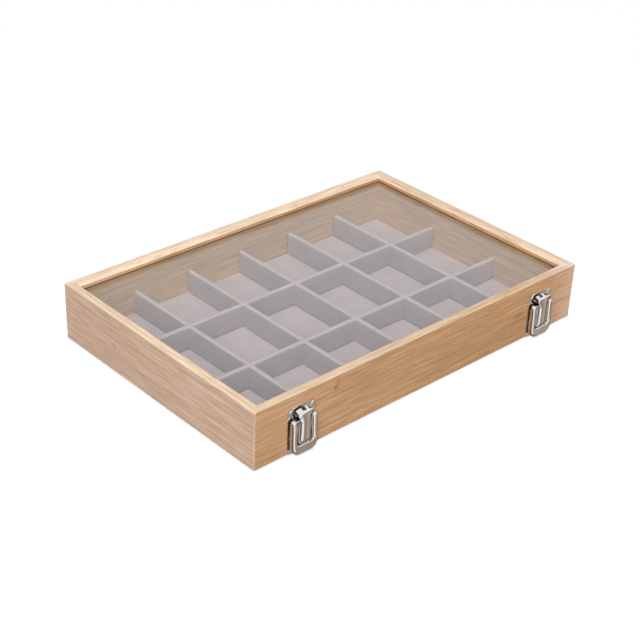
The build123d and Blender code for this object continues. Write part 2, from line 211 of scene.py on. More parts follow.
@dataclass(frozen=True)
class Bamboo:
    """Bamboo strip board, planed, sanded and wiped with a matt clear lacquer.

    It shows fine straight fibres, soft bands of tone from one strip to the next, groups of
    short dark vascular flecks, here and there the brown scar of a leaf sheath, and where a
    board is given them, dark spots of painted shade. Faces that look up, and the bevels,
    take a paler tone than the sides, partly the wood's own tone and partly painted light;
    within the walls the sides take a darker tone, painted shade for the dim inside.
    """

    name: str
    grain: Grain
    seed: float
    top: str = "#F5D9BB"
    side: str = "#E6B78B"
    dark: str = "#8F5726"
    dark_spots: tuple[DarkSpot, ...] = ()
    lean: float = 0.5
    fibre_length: float = 34.0
    fibre_width: float = 0.62
    fibre_swing: float = 0.34
    band_length: float = 150.0
    band_width: float = 2.6
    band_swing: float = 0.12
    cloud_size: float = 26.0
    cloud_swing: float = 0.07
    fleck_length: float = 15.0
    fleck_width: float = 0.8
    fleck_share: float = 0.62
    vein_length: float = 80.0
    vein_width: float = 0.75
    vein_share: float = 0.42
    waver_length: float = 120.0
    waver: float = 0.9
    hue_swing: tuple[float, float, float] = (0.8, 1.0, 1.35)
    warmth: tuple[float, float, float] = (1.01, 0.99, 0.97)
    far_end: tuple[float, float, float] = (1.0, 1.0, 1.0)
    right_end: tuple[float, float, float] = (1.0, 1.0, 1.0)
    inside: str = ""

    def material(self) -> bpy.types.Material:
        """Build the wood's material, in object coordinates."""
        material, tree = empty_material(self.name)
        place = add(tree, "ShaderNodeTexCoord")
        along = self.grain_vector(tree, place.outputs["Object"])
        fibre = streaks(tree, along, self.fibre_length, self.fibre_width, 4.0)
        band = streaks(tree, along, self.band_length, self.band_width, 3.0)
        cloud = streaks(tree, along, 2.5 * self.cloud_size, self.cloud_size, 2.0)
        fleck = streaks(tree, along, self.fleck_length, self.fleck_width, 2.0)
        vein = streaks(tree, along, self.vein_length, self.vein_width, 3.0)

        wood = self.tone(tree, place.outputs["Normal"], place.outputs["Object"])
        for noise, swing in (
            (fibre, self.fibre_swing), (band, self.band_swing), (cloud, self.cloud_swing)
        ):
            change = ranged(tree, noise, NOISE_LOW, NOISE_HIGH, -swing, swing)
            factor = add(
                tree, "ShaderNodeVectorMath", {0: change, 1: self.hue_swing, 2: (1.0, 1.0, 1.0)},
                operation="MULTIPLY_ADD",
            )
            scaled = add(tree, "ShaderNodeVectorMath", {0: wood, 1: factor}, operation="MULTIPLY")
            wood = scaled.outputs[0]
        warm = add(tree, "ShaderNodeVectorMath", {0: wood, 1: self.warmth}, operation="MULTIPLY")
        share = ranged(tree, cloud, 0.35, 0.65, 0.0, 1.0)
        tinted = add(
            tree, "ShaderNodeMix", {MIX_FACTOR: share, MIX_A: wood, MIX_B: warm}, data_type="RGBA"
        )
        drifted = self.drifted(tree, tinted.outputs[MIX_RESULT], place.outputs["Object"])
        dark = self.darkness(tree, fleck, vein, cloud, place.outputs["Object"])
        colour = add(
            tree, "ShaderNodeMix", {MIX_FACTOR: dark, MIX_A: drifted, MIX_B: linear(self.dark)},
            data_type="RGBA",
        )
        rough = ranged(tree, fibre, 0.3, 0.7, 0.48, 0.62)
        relief = add(tree, "ShaderNodeMath", {0: fibre, 1: fleck}, operation="ADD")
        bump = add(tree, "ShaderNodeBump", {"Height": relief, "Distance": 0.04 * MM, "Strength": 0.3})
        shader = add(
            tree, "ShaderNodeBsdfPrincipled",
            {"Base Color": colour.outputs[MIX_RESULT], "Roughness": rough, "IOR": 1.45, "Normal": bump},
        )
        add(tree, "ShaderNodeOutputMaterial", {"Surface": shader})
        return material

    def grain_vector(self, tree: Tree, place: Socket) -> Socket:
        """Turn the grain onto X, at a slight slant, and let it waver a little.

        Args:
            tree: the material's tree.
            place: the object coordinates.

        Returns:
            Coordinates in metres with the fibres along X.
        """
        slant = math.radians(self.lean)
        turned = add(
            tree, "ShaderNodeMapping",
            {
                "Vector": place, "Location": (self.seed * 0.713, self.seed * 0.331, self.seed * 0.197),
                "Rotation": (0, slant, math.radians(self.grain.value) + slant),
            },
        )
        slow = add(
            tree, "ShaderNodeTexNoise",
            {"Vector": turned, "Scale": 1 / (self.waver_length * MM), "Detail": 1.0},
        )
        shift = add(
            tree, "ShaderNodeVectorMath",
            {0: slow.outputs["Color"], 1: (0, self.waver * MM, self.waver * MM)}, operation="MULTIPLY",
        )
        moved = add(tree, "ShaderNodeVectorMath", {0: turned, 1: shift})
        return moved.outputs[0]

    def tone(self, tree: Tree, normal: Socket, place: Socket) -> Socket:
        """Mix the side's tone into the top's, partly painted light, and add the groove's painted shade.

        Args:
            tree: the material's tree.
            normal: the surface's normal on the object.
            place: the object coordinates.

        Returns:
            The wood's plain colour.
        """
        # Faces that look up, bevels too, take the paler top tone: partly the wood's own tone and partly
        # painted light
        axes = add(tree, "ShaderNodeSeparateXYZ", {0: normal})
        flat = add(tree, "ShaderNodeMath", {0: axes.outputs["Z"]}, operation="ABSOLUTE")
        share = ranged(tree, flat.outputs[0], 0.15, 0.55, 0.0, 1.0)
        side = linear(self.side)
        # Within the walls the sides take the darker inside tone, painted shade for the dim light there
        if self.inside:
            side = self.inner(tree, place)
        mixed = add(
            tree, "ShaderNodeMix", {MIX_FACTOR: share, MIX_A: side, MIX_B: linear(self.top)},
            data_type="RGBA",
        )
        if not self.inside:
            return mixed.outputs[MIX_RESULT]
        # Painted shade along the pane's groove, standing in for the shadow there
        groove = self.within(tree, place, 171.5, 114.5, 41.4, 44.3)
        shaded = add(
            tree, "ShaderNodeMix",
            {MIX_FACTOR: groove, MIX_A: mixed.outputs[MIX_RESULT], MIX_B: linear(GROOVE_SHADE)},
            data_type="RGBA",
        )
        return shaded.outputs[MIX_RESULT]

    def inner(self, tree: Tree, place: Socket) -> Socket:
        """Give the faces towards the compartments a duller tone: painted shade for the dim inside.

        Args:
            tree: the material's tree.
            place: the object coordinates.

        Returns:
            The side's tone, or the inside's within the box's walls.
        """
        below = self.within(tree, place, 166.6, 109.6, -1.0, 43.2)
        mixed = add(
            tree, "ShaderNodeMix",
            {MIX_FACTOR: below, MIX_A: linear(self.side), MIX_B: linear(self.inside)}, data_type="RGBA",
        )
        return mixed.outputs[MIX_RESULT]

    def within(
        self, tree: Tree, place: Socket, half_x: float, half_y: float, low: float, high: float
    ) -> Socket:
        """Give 1 within a box about the tray's middle and 0 outside, in millimetres.

        Args:
            tree: the material's tree.
            place: the object coordinates.
            half_x: half the box's length.
            half_y: half its width.
            low: the height of its underside.
            high: the height of its top.

        Returns:
            The share, with a soft edge of 0.3 mm.
        """
        size = add(tree, "ShaderNodeVectorMath", {0: place}, operation="ABSOLUTE")
        axes = add(tree, "ShaderNodeSeparateXYZ", {0: size})
        x, y, z = (axes.outputs[name] for name in "XYZ")
        share = ranged(tree, z, low * MM, (low + 0.3) * MM, 0.0, 1.0)
        for value, limit in ((z, high), (x, half_x), (y, half_y)):
            share = ranged(tree, value, limit * MM, (limit + 0.3) * MM, share, 0.0)
        return share

    def drifted(self, tree: Tree, wood: Socket, place: Socket) -> Socket:
        """Let the tone drift along the tray, as the culms of one board differ.

        Args:
            tree: the material's tree.
            wood: the wood's colour so far.
            place: the object coordinates.

        Returns:
            The colour, multiplied by far_end towards the right and by right_end at the corner.
        """
        axes = add(tree, "ShaderNodeSeparateXYZ", {0: place})
        level = (1.0, 1.0, 1.0, 1.0)
        for start, end, tone in ((-150, 120, self.far_end), (138, 170, self.right_end)):
            share = ranged(tree, axes.outputs["X"], start * MM, end * MM, 0.0, 1.0)
            mixed = add(
                tree, "ShaderNodeMix", {MIX_FACTOR: share, MIX_A: level, MIX_B: (*tone, 1.0)},
                data_type="RGBA",
            )
            level = mixed.outputs[MIX_RESULT]
        result = add(tree, "ShaderNodeVectorMath", {0: wood, 1: level}, operation="MULTIPLY")
        return result.outputs[0]

    def darkness(self, tree: Tree, fleck: Socket, vein: Socket, cloud: Socket, place: Socket) -> Socket:
        """Gather the flecks, the veins and the dark spots, painted shade too, into one dark share.

        Args:
            tree: the material's tree.
            fleck: the noise of the short flecks.
            vein: the noise of the longer dark lines.
            cloud: the slow noise that groups the flecks.
            place: the object coordinates.

        Returns:
            The share of the dark colour, from 0 to 1.
        """
        grouped = ranged(tree, cloud, 0.42, 0.62, 0.25, 1.0)
        short = ranged(tree, fleck, 0.56, 0.78, 0.0, self.fleck_share)
        long = ranged(tree, vein, 0.6, 0.76, 0.0, self.vein_share)
        total = add(
            tree, "ShaderNodeMath", {0: short, 1: grouped, 2: long}, operation="MULTIPLY_ADD"
        ).outputs[0]
        for dark_spot in self.dark_spots:
            spread = (dark_spot.along, dark_spot.along, dark_spot.over)
            if self.grain is Grain.ALONG_Y:
                spread = (dark_spot.over, dark_spot.along, dark_spot.over)
            offset = add(
                tree, "ShaderNodeVectorMath", {0: place, 1: (dark_spot.x * MM, dark_spot.y * MM, dark_spot.z * MM)},
                operation="SUBTRACT",
            )
            scaled = add(
                tree, "ShaderNodeVectorMath",
                {0: offset, 1: tuple(1 / (s * MM) for s in spread)}, operation="MULTIPLY",
            )
            far = add(tree, "ShaderNodeVectorMath", {0: scaled}, operation="LENGTH")
            ragged = add(
                tree, "ShaderNodeMath", {0: fleck, 1: 1.5, 2: far.outputs["Value"]},
                operation="MULTIPLY_ADD",
            )
            # Each spot's darkness: a scar's, and for the catch plates' openings painted shade
            scar = ranged(tree, ragged.outputs[0], 0.75, 1.9, dark_spot.depth, 0.0)
            total = add(tree, "ShaderNodeMath", {0: total, 1: scar}, operation="ADD").outputs[0]
        return total


@dataclass(frozen=True)
class Velvet:
    """Grey velvet, a woven backing with a short cut pile, glued over card.

    The pile gives it a soft, dry look with a pale sheen at a glancing angle, and it lies in
    slightly lighter and darker patches where it was brushed. Upright faces are painted
    darker than the floor, as painted shade for the light that reaches them less.
    """

    name: str = "velvet_grey_cut_pile"
    light: str = "#D8CBD1"
    deep: str = "#CDC0C6"
    upright_shade: float = 0.62
    patch_size: float = 22.0
    pile_size: float = 0.45

    def material(self) -> bpy.types.Material:
        """Build the velvet's material, in object coordinates."""
        material, tree = empty_material(self.name)
        where = add(tree, "ShaderNodeTexCoord")
        place = where.outputs["Object"]
        patch = add(
            tree, "ShaderNodeTexNoise",
            {"Vector": place, "Scale": 1 / (self.patch_size * MM), "Detail": 3.0},
        )
        pile = add(
            tree, "ShaderNodeTexNoise",
            {"Vector": place, "Scale": 1 / (self.pile_size * MM), "Detail": 2.0},
        )
        mixed = add(
            tree, "ShaderNodeMath", {0: pile.outputs["Fac"], 1: 0.45, 2: patch.outputs["Fac"]},
            operation="MULTIPLY_ADD",
        )
        share = ranged(tree, mixed.outputs[0], 0.5, 0.95, 0.0, 1.0)
        colour = add(
            tree, "ShaderNodeMix",
            {MIX_FACTOR: share, MIX_A: linear(self.deep), MIX_B: linear(self.light)}, data_type="RGBA",
        )
        # Painted shade: upright faces darker than the floor, by how far they look up
        axes = add(tree, "ShaderNodeSeparateXYZ", {0: where.outputs["Normal"]})
        level = ranged(tree, axes.outputs["Z"], 0.0, 0.75, self.upright_shade, 1.0)
        shaded_colour = add(
            tree, "ShaderNodeVectorMath", {0: colour.outputs[MIX_RESULT], "Scale": level},
            operation="SCALE",
        )
        bump = add(
            tree, "ShaderNodeBump",
            {"Height": pile.outputs["Fac"], "Distance": 0.2 * MM, "Strength": 0.4},
        )
        shader = add(
            tree, "ShaderNodeBsdfPrincipled",
            {
                "Base Color": shaded_colour, "Roughness": 1.0, "Specular IOR Level": 0.1,
                "Sheen Weight": 0.25, "Sheen Roughness": 0.5, "Normal": bump,
            },
        )
        add(tree, "ShaderNodeOutputMaterial", {"Surface": shader})
        return material


@dataclass(frozen=True)
class FloatGlass:
    """Clear soda-lime float glass, cut and lightly seamed.

    It mirrors the bright surroundings as an even pale veil and lets the rest through. Lamps
    reach what is under it, as they do through a real thin pane.
    """

    name: str = "glass_clear_float"
    body: str = "#FCFCFB"
    passed: str = "#EDEDEC"

    def material(self) -> bpy.types.Material:
        """Build the glass, which lets shadow rays and diffuse rays straight through."""
        material, tree = empty_material(self.name)
        path = add(tree, "ShaderNodeLightPath")
        either = add(
            tree, "ShaderNodeMath",
            {0: path.outputs["Is Shadow Ray"], 1: path.outputs["Is Diffuse Ray"]}, operation="MAXIMUM",
        )
        pane = add(
            tree, "ShaderNodeBsdfPrincipled",
            {"Base Color": linear(self.body), "Roughness": 0.0, "IOR": 1.5, "Transmission Weight": 1.0},
        )
        clear = add(tree, "ShaderNodeBsdfTransparent", {0: linear(self.passed)})
        mixed = add(tree, "ShaderNodeMixShader", {0: either, 1: pane, 2: clear})
        add(tree, "ShaderNodeOutputMaterial", {"Surface": mixed})
        return material


@dataclass(frozen=True)
class PlatedMetal:
    """Steel sheet with a bright plating, tumbled after it was pressed.

    The plating mirrors its surroundings, a little softened by fine handling marks, and the
    pressing leaves it faintly wavy.
    """

    name: str
    colour: str
    polish: float
    haze: float
    smudge_size: float = 4.0
    wave_size: float = 5.0

    def material(self) -> bpy.types.Material:
        """Build the plating, in object coordinates."""
        material, tree = empty_material(self.name)
        place = add(tree, "ShaderNodeTexCoord").outputs["Object"]
        smudge = add(
            tree, "ShaderNodeTexNoise",
            {"Vector": place, "Scale": 1 / (self.smudge_size * MM), "Detail": 4.0},
        )
        wave = add(
            tree, "ShaderNodeTexNoise",
            {"Vector": place, "Scale": 1 / (self.wave_size * MM), "Detail": 0.0},
        )
        rough = ranged(tree, smudge.outputs["Fac"], 0.35, 0.75, self.polish, self.polish + self.haze)
        bump = add(
            tree, "ShaderNodeBump",
            {"Height": wave.outputs["Fac"], "Distance": 0.12 * MM, "Strength": 0.4},
        )
        shader = add(
            tree, "ShaderNodeBsdfPrincipled",
            {"Base Color": linear(self.colour), "Metallic": 1.0, "Roughness": rough, "Normal": bump},
        )
        add(tree, "ShaderNodeOutputMaterial", {"Surface": shader})
        return material


def dress(piece: bpy.types.Object, material: bpy.types.Material) -> None:
    """Give a whole piece one material."""
    if piece.material_slots:
        for place in piece.material_slots:
            place.material = material
    else:
        piece.data.materials.append(material)


def new_piece(name: str, mesh: bpy.types.Mesh) -> bpy.types.Object:
    """Put a mesh in the scene as an object at the origin.

    Args:
        name: the piece's name.
        mesh: its mesh.

    Returns:
        The new object.
    """
    piece = bpy.data.objects.new(name, mesh)
    bpy.context.scene.collection.objects.link(piece)
    return piece


def applied(piece: bpy.types.Object) -> bpy.types.Object:
    """Turn a piece's modifiers into a plain mesh and take them off.

    Args:
        piece: an object with live modifiers.

    Returns:
        The same object, with its evaluated mesh.
    """
    graph = bpy.context.evaluated_depsgraph_get()
    mesh = bpy.data.meshes.new_from_object(piece.evaluated_get(graph))
    mesh.name = piece.name
    piece.modifiers.clear()
    piece.data = mesh
    return piece


def smooth_by_angle(piece: bpy.types.Object, degrees: float) -> None:
    """Shade a piece smooth but for its edges sharper than an angle.

    Args:
        piece: the object to shade.
        degrees: the sharpest turn that still shades smooth.
    """
    mesh = bmesh.new()
    mesh.from_mesh(piece.data)
    for face in mesh.faces:
        face.smooth = True
    limit = math.radians(degrees)
    for edge in mesh.edges:
        edge.smooth = len(edge.link_faces) == 2 and edge.calc_face_angle(math.pi) < limit
    mesh.to_mesh(piece.data)
    mesh.free()


def flattened(piece: bpy.types.Object) -> bpy.types.Object:
    """Let the large faces of a smoothly shaded piece look flat, and return the piece."""
    flat = piece.modifiers.new("flat_faces", "WEIGHTED_NORMAL")
    flat.weight = 100
    flat.keep_sharp = True
    return applied(piece)


def bevelled_copy(
    name: str, node: str, width: float, segments: int = 2,
    moved: Callable[[Vector], Vector] | None = None,
) -> bpy.types.Object:
    """Copy a CAD node, merge its loose triangles and round its sharp edges.

    Args:
        name: the new piece's name.
        node: the CAD node that it replaces.
        width: how wide the rounding is, in millimetres.
        segments: how many faces make the rounding.
        moved: where a corner of the copy goes, if some are moved first.

    Returns:
        The new piece, with a plain mesh.
    """
    mesh = bmesh.new()
    mesh.from_mesh(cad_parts[node].data)
    bmesh.ops.remove_doubles(mesh, verts=mesh.verts, dist=0.001 * MM)
    bmesh.ops.dissolve_limit(mesh, angle_limit=math.radians(1), verts=mesh.verts, edges=mesh.edges)
    if moved:
        for vertex in mesh.verts:
            vertex.co = moved(vertex.co)
    data = bpy.data.meshes.new(name)
    mesh.to_mesh(data)
    mesh.free()
    piece = new_piece(name, data)
    bevel = piece.modifiers.new("rounding", "BEVEL")
    bevel.width = width * MM
    bevel.segments = segments
    bevel.limit_method = "ANGLE"
    bevel.angle_limit = math.radians(32)
    bevel.use_clamp_overlap = True
    applied(piece)
    smooth_by_angle(piece, 40)
    return flattened(piece)


def closed_shell(name: str, loops: list[list[Vector]]) -> bpy.types.Object:
    """Join closed loops of as many points each, one after the other, and cap both ends.

    Args:
        name: the new piece's name.
        loops: the loops, in metres.

    Returns:
        The new piece: a closed, smoothly shaded skin that looks outwards.
    """
    around = len(loops[0])
    last = (len(loops) - 1) * around
    faces = [
        (r + c, r + (c + 1) % around, r + around + (c + 1) % around, r + around + c)
        for r in range(0, last, around)
        for c in range(around)
    ]
    faces.append(tuple(reversed(range(around))))
    faces.append(tuple(range(last, last + around)))
    data = bpy.data.meshes.new(name)
    data.from_pydata([point for loop in loops for point in loop], [], faces)
    mesh = bmesh.new()
    mesh.from_mesh(data)
    bmesh.ops.remove_doubles(mesh, verts=mesh.verts, dist=0.001 * MM)
    caps = [face for face in mesh.faces if len(face.verts) > 4]
    bmesh.ops.triangulate(mesh, faces=caps, ngon_method="EAR_CLIP")
    bmesh.ops.recalc_face_normals(mesh, faces=mesh.faces)
    mesh.to_mesh(data)
    mesh.free()
    piece = new_piece(name, data)
    smooth_by_angle(piece, 42)
    return flattened(piece)


def between(value: float, points: tuple[tuple[float, float], ...]) -> float:
    """Read a broken line at a place.

    Args:
        value: where to read it.
        points: its corners, each a place and a height, by rising place.

    Returns:
        Its height there, held at both ends.
    """
    if value <= points[0][0]:
        return points[0][1]
    for (low, start), (high, end) in zip(points, points[1:]):
        if value <= high:
            return start + (end - start) * (value - low) / (high - low)
    return points[-1][1]


def seat(
    piece: bpy.types.Object, body: str, slot: str, material: bpy.types.Material, *nodes: str
) -> None:
    """Dress a finished piece, let it ride a body and stand for CAD nodes.

    Args:
        piece: the finished piece.
        body: the body that carries it.
        slot: the record's material slot; not used.
        material: its finish.
        *nodes: the CAD nodes that it replaces.
    """
    dress(piece, material)
    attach(piece, body)
    if nodes:
        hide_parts(*nodes)
    LOG.info("%s: %d faces on %s", piece.name, len(piece.data.polygons), body)


class Recipe:
    """A Geometry Nodes tree with named inputs, which is run once into a plain mesh."""

    def __init__(self, name: str) -> None:
        """Start an empty tree.

        Args:
            name: the tree's name.
        """
        self.tree = bpy.data.node_groups.new(name, "GeometryNodeTree")
        self.tree.interface.new_socket("Geometry", in_out="OUTPUT", socket_type="NodeSocketGeometry")
        self.values: dict[str, object] = {}
        self.source = add(self.tree, "NodeGroupInput")

    def size(self, name: str, value: float) -> Socket:
        """Add a named size in millimetres.

        Args:
            name: the input's name.
            value: its value in millimetres.

        Returns:
            The socket that gives it in metres.
        """
        return self.entry(name, "NodeSocketFloat", value * MM)

    def count(self, name: str, value: int) -> Socket:
        """Add a named whole number and return its socket."""
        return self.entry(name, "NodeSocketInt", value)

    def finish(self, material: bpy.types.Material) -> Socket:
        """Add the input for the material and return its socket."""
        return self.entry("Finish", "NodeSocketMaterial", material)

    def given(self) -> Socket:
        """Add the input for the piece's own mesh and return its socket."""
        self.tree.interface.new_socket("Geometry", in_out="INPUT", socket_type="NodeSocketGeometry")
        return self.source.outputs["Geometry"]

    def entry(self, name: str, kind: str, value: object) -> Socket:
        """Add a named input and keep the value that the modifier gets.

        Args:
            name: the input's name.
            kind: the socket's type.
            value: the value for this run.

        Returns:
            The socket inside the tree.
        """
        made = self.tree.interface.new_socket(name, in_out="INPUT", socket_type=kind)
        self.values[made.identifier] = value
        return self.source.outputs[name]

    def add(self, kind: str, inputs: dict | None = None, **settings: object) -> bpy.types.Node:
        """Add a node to this recipe's tree."""
        return add(self.tree, kind, inputs, **settings)

    def close(self, geometry: Socket, material: bpy.types.Material) -> None:
        """End the tree in Realize Instances and Set Material.

        Args:
            geometry: what the tree has made.
            material: its finish.
        """
        real = self.add("GeometryNodeRealizeInstances", {"Geometry": geometry})
        dressed = self.add(
            "GeometryNodeSetMaterial", {"Geometry": real, "Material": self.finish(material)}
        )
        self.add("NodeGroupOutput", {"Geometry": dressed})

    def onto(self, piece: bpy.types.Object) -> None:
        """Put the tree on a piece as a modifier, with its inputs set by identifier."""
        modifier = piece.modifiers.new(self.tree.name, "NODES")
        modifier.node_group = self.tree
        for identifier, value in self.values.items():
            modifier[identifier] = value


def empty_piece(name: str) -> bpy.types.Object:
    """Make an object with an empty mesh, for a recipe to fill."""
    return new_piece(name, bpy.data.meshes.new(name))


@dataclass(frozen=True)
class DividerRow:
    """Velvet-covered dividers of one direction, side by side at an even pitch.

    They run along X and are turned afterwards. Sizes are in millimetres.
    """

    name: str
    length: float
    count: int
    pitch: float
    turn: float
    low: float
    high: float
    thickness: float
    round: float
    slot_low: float = 0.0
    slot_high: float = 0.0
    cut_length: float = 0.0
    cut_count: int = 0
    cut_pitch: float = 0.0
    cut_round: float = 0.0
    end_round: float = 1.1
    ring_step: float = 4.0
    softness: float = 0.09

    def bars(
        self, recipe: Recipe, prefix: str, length: float, low: float, high: float, corner: float,
        count: int, pitch: float, width: float,
    ) -> Socket:
        """Sweep a rounded section along X and repeat it at a pitch along Y.

        Args:
            recipe: the tree that is being built.
            prefix: the word that starts the names of its inputs.
            length: how long a bar is.
            low: the height of its underside.
            high: the height of its top.
            corner: the rounding of its top.
            count: how many bars there are.
            pitch: how far apart they stand.
            width: how thick a bar is.

        Returns:
            The bars as real geometry.
        """
        long = recipe.size(f"{prefix} Length", length)
        tall = recipe.size(f"{prefix} Height", high - low)
        thick = recipe.size(f"{prefix} Thickness", width)
        section = recipe.add(
            "GeometryNodeCurvePrimitiveQuadrilateral", {"Width": thick, "Height": tall}
        )
        rounded = recipe.add(
            "GeometryNodeFilletCurve",
            {
                "Curve": section, "Radius": recipe.size(f"{prefix} Round", corner),
                "Count": 5, "Limit Radius": True,
            },
            mode="POLY",
        )
        half = recipe.add("ShaderNodeMath", {0: long, 1: 0.5}, operation="MULTIPLY")
        start = recipe.add("ShaderNodeMath", {0: half, 1: -1.0}, operation="MULTIPLY")
        middle = recipe.size(f"{prefix} Middle", (low + high) / 2)
        first = recipe.add("ShaderNodeCombineXYZ", {"X": start, "Z": middle})
        last = recipe.add("ShaderNodeCombineXYZ", {"X": half, "Z": middle})
        line = recipe.add("GeometryNodeCurvePrimitiveLine", {"Start": first, "End": last})
        path = recipe.add(
            "GeometryNodeResampleCurve",
            {"Curve": line, "Count": max(2, round(length / self.ring_step))},
        )
        swept = recipe.add(
            "GeometryNodeCurveToMesh", {"Curve": path, "Profile Curve": rounded, "Fill Caps": True}
        )
        number = recipe.count(f"{prefix} Count", count)
        gap = recipe.size(f"{prefix} Pitch", pitch)
        offset = recipe.add("ShaderNodeCombineXYZ", {"Y": gap})
        steps = recipe.add("ShaderNodeMath", {0: number, 1: 1.0}, operation="SUBTRACT")
        reach = recipe.add("ShaderNodeMath", {0: steps, 1: gap}, operation="MULTIPLY")
        back = recipe.add("ShaderNodeMath", {0: reach, 1: -0.5}, operation="MULTIPLY")
        begin = recipe.add("ShaderNodeCombineXYZ", {"Y": back})
        places = recipe.add(
            "GeometryNodeMeshLine", {"Count": number, "Start Location": begin, "Offset": offset},
            mode="OFFSET",
        )
        copies = recipe.add("GeometryNodeInstanceOnPoints", {"Points": places, "Instance": swept})
        return recipe.add("GeometryNodeRealizeInstances", {0: copies}).outputs[0]

    def build(self, material: bpy.types.Material) -> bpy.types.Object:
        """Make the row: sweep the bars, round their ends, then cut the halving slots.

        Args:
            material: the velvet.

        Returns:
            The row as one plain piece.
        """
        piece = empty_piece(self.name)
        sweep = Recipe(f"{self.name}_bars")
        bars = self.bars(
            sweep, "Bar", self.length, self.low, self.high, self.round, self.count, self.pitch,
            self.thickness,
        )
        sweep.close(self.softened(sweep, bars), material)
        sweep.onto(piece)
        ends = piece.modifiers.new("soft_ends", "BEVEL")
        ends.width = self.end_round * MM
        ends.segments = 3
        ends.limit_method = "ANGLE"
        ends.angle_limit = math.radians(60)

        halving = Recipe(f"{self.name}_slots")
        whole = halving.given()
        cutters = self.bars(
            halving, "Slot", self.cut_length, self.slot_low, self.slot_high, self.cut_round,
            self.cut_count, self.cut_pitch, self.thickness,
        )
        turned = halving.add(
            "GeometryNodeTransform", {"Geometry": cutters, "Rotation": (0, 0, math.radians(90))}
        )
        cut = halving.add(
            "GeometryNodeMeshBoolean", {"Mesh 1": whole, "Mesh 2": turned}, operation="DIFFERENCE",
            solver="EXACT",
        )
        placed = halving.add(
            "GeometryNodeTransform", {"Geometry": cut, "Rotation": (0, 0, math.radians(self.turn))}
        )
        halving.close(placed.outputs[0], material)
        halving.onto(piece)
        applied(piece)
        smooth_by_angle(piece, 50)
        return piece

    def softened(self, recipe: Recipe, geometry: Socket) -> Socket:
        """Move the velvet's surface in and out a little, as cloth glued over card lies.

        Args:
            recipe: the tree that is being built.
            geometry: the plain bars.

        Returns:
            The softened bars.
        """
        noise = recipe.add(
            "ShaderNodeTexNoise", {"Scale": 1 / (26 * MM), "Detail": 1.0}, noise_dimensions="3D"
        )
        centred = recipe.add(
            "ShaderNodeVectorMath", {0: noise.outputs["Color"], 1: (0.5, 0.5, 0.5)},
            operation="SUBTRACT",
        )
        amount = recipe.size("Softness", 2 * self.softness)
        level = recipe.add("ShaderNodeCombineXYZ", {"Y": amount, "Z": amount})
        shift = recipe.add("ShaderNodeVectorMath", {0: centred, 1: level}, operation="MULTIPLY")
        moved = recipe.add("GeometryNodeSetPosition", {"Geometry": geometry, "Offset": shift})
        return moved.outputs[0]


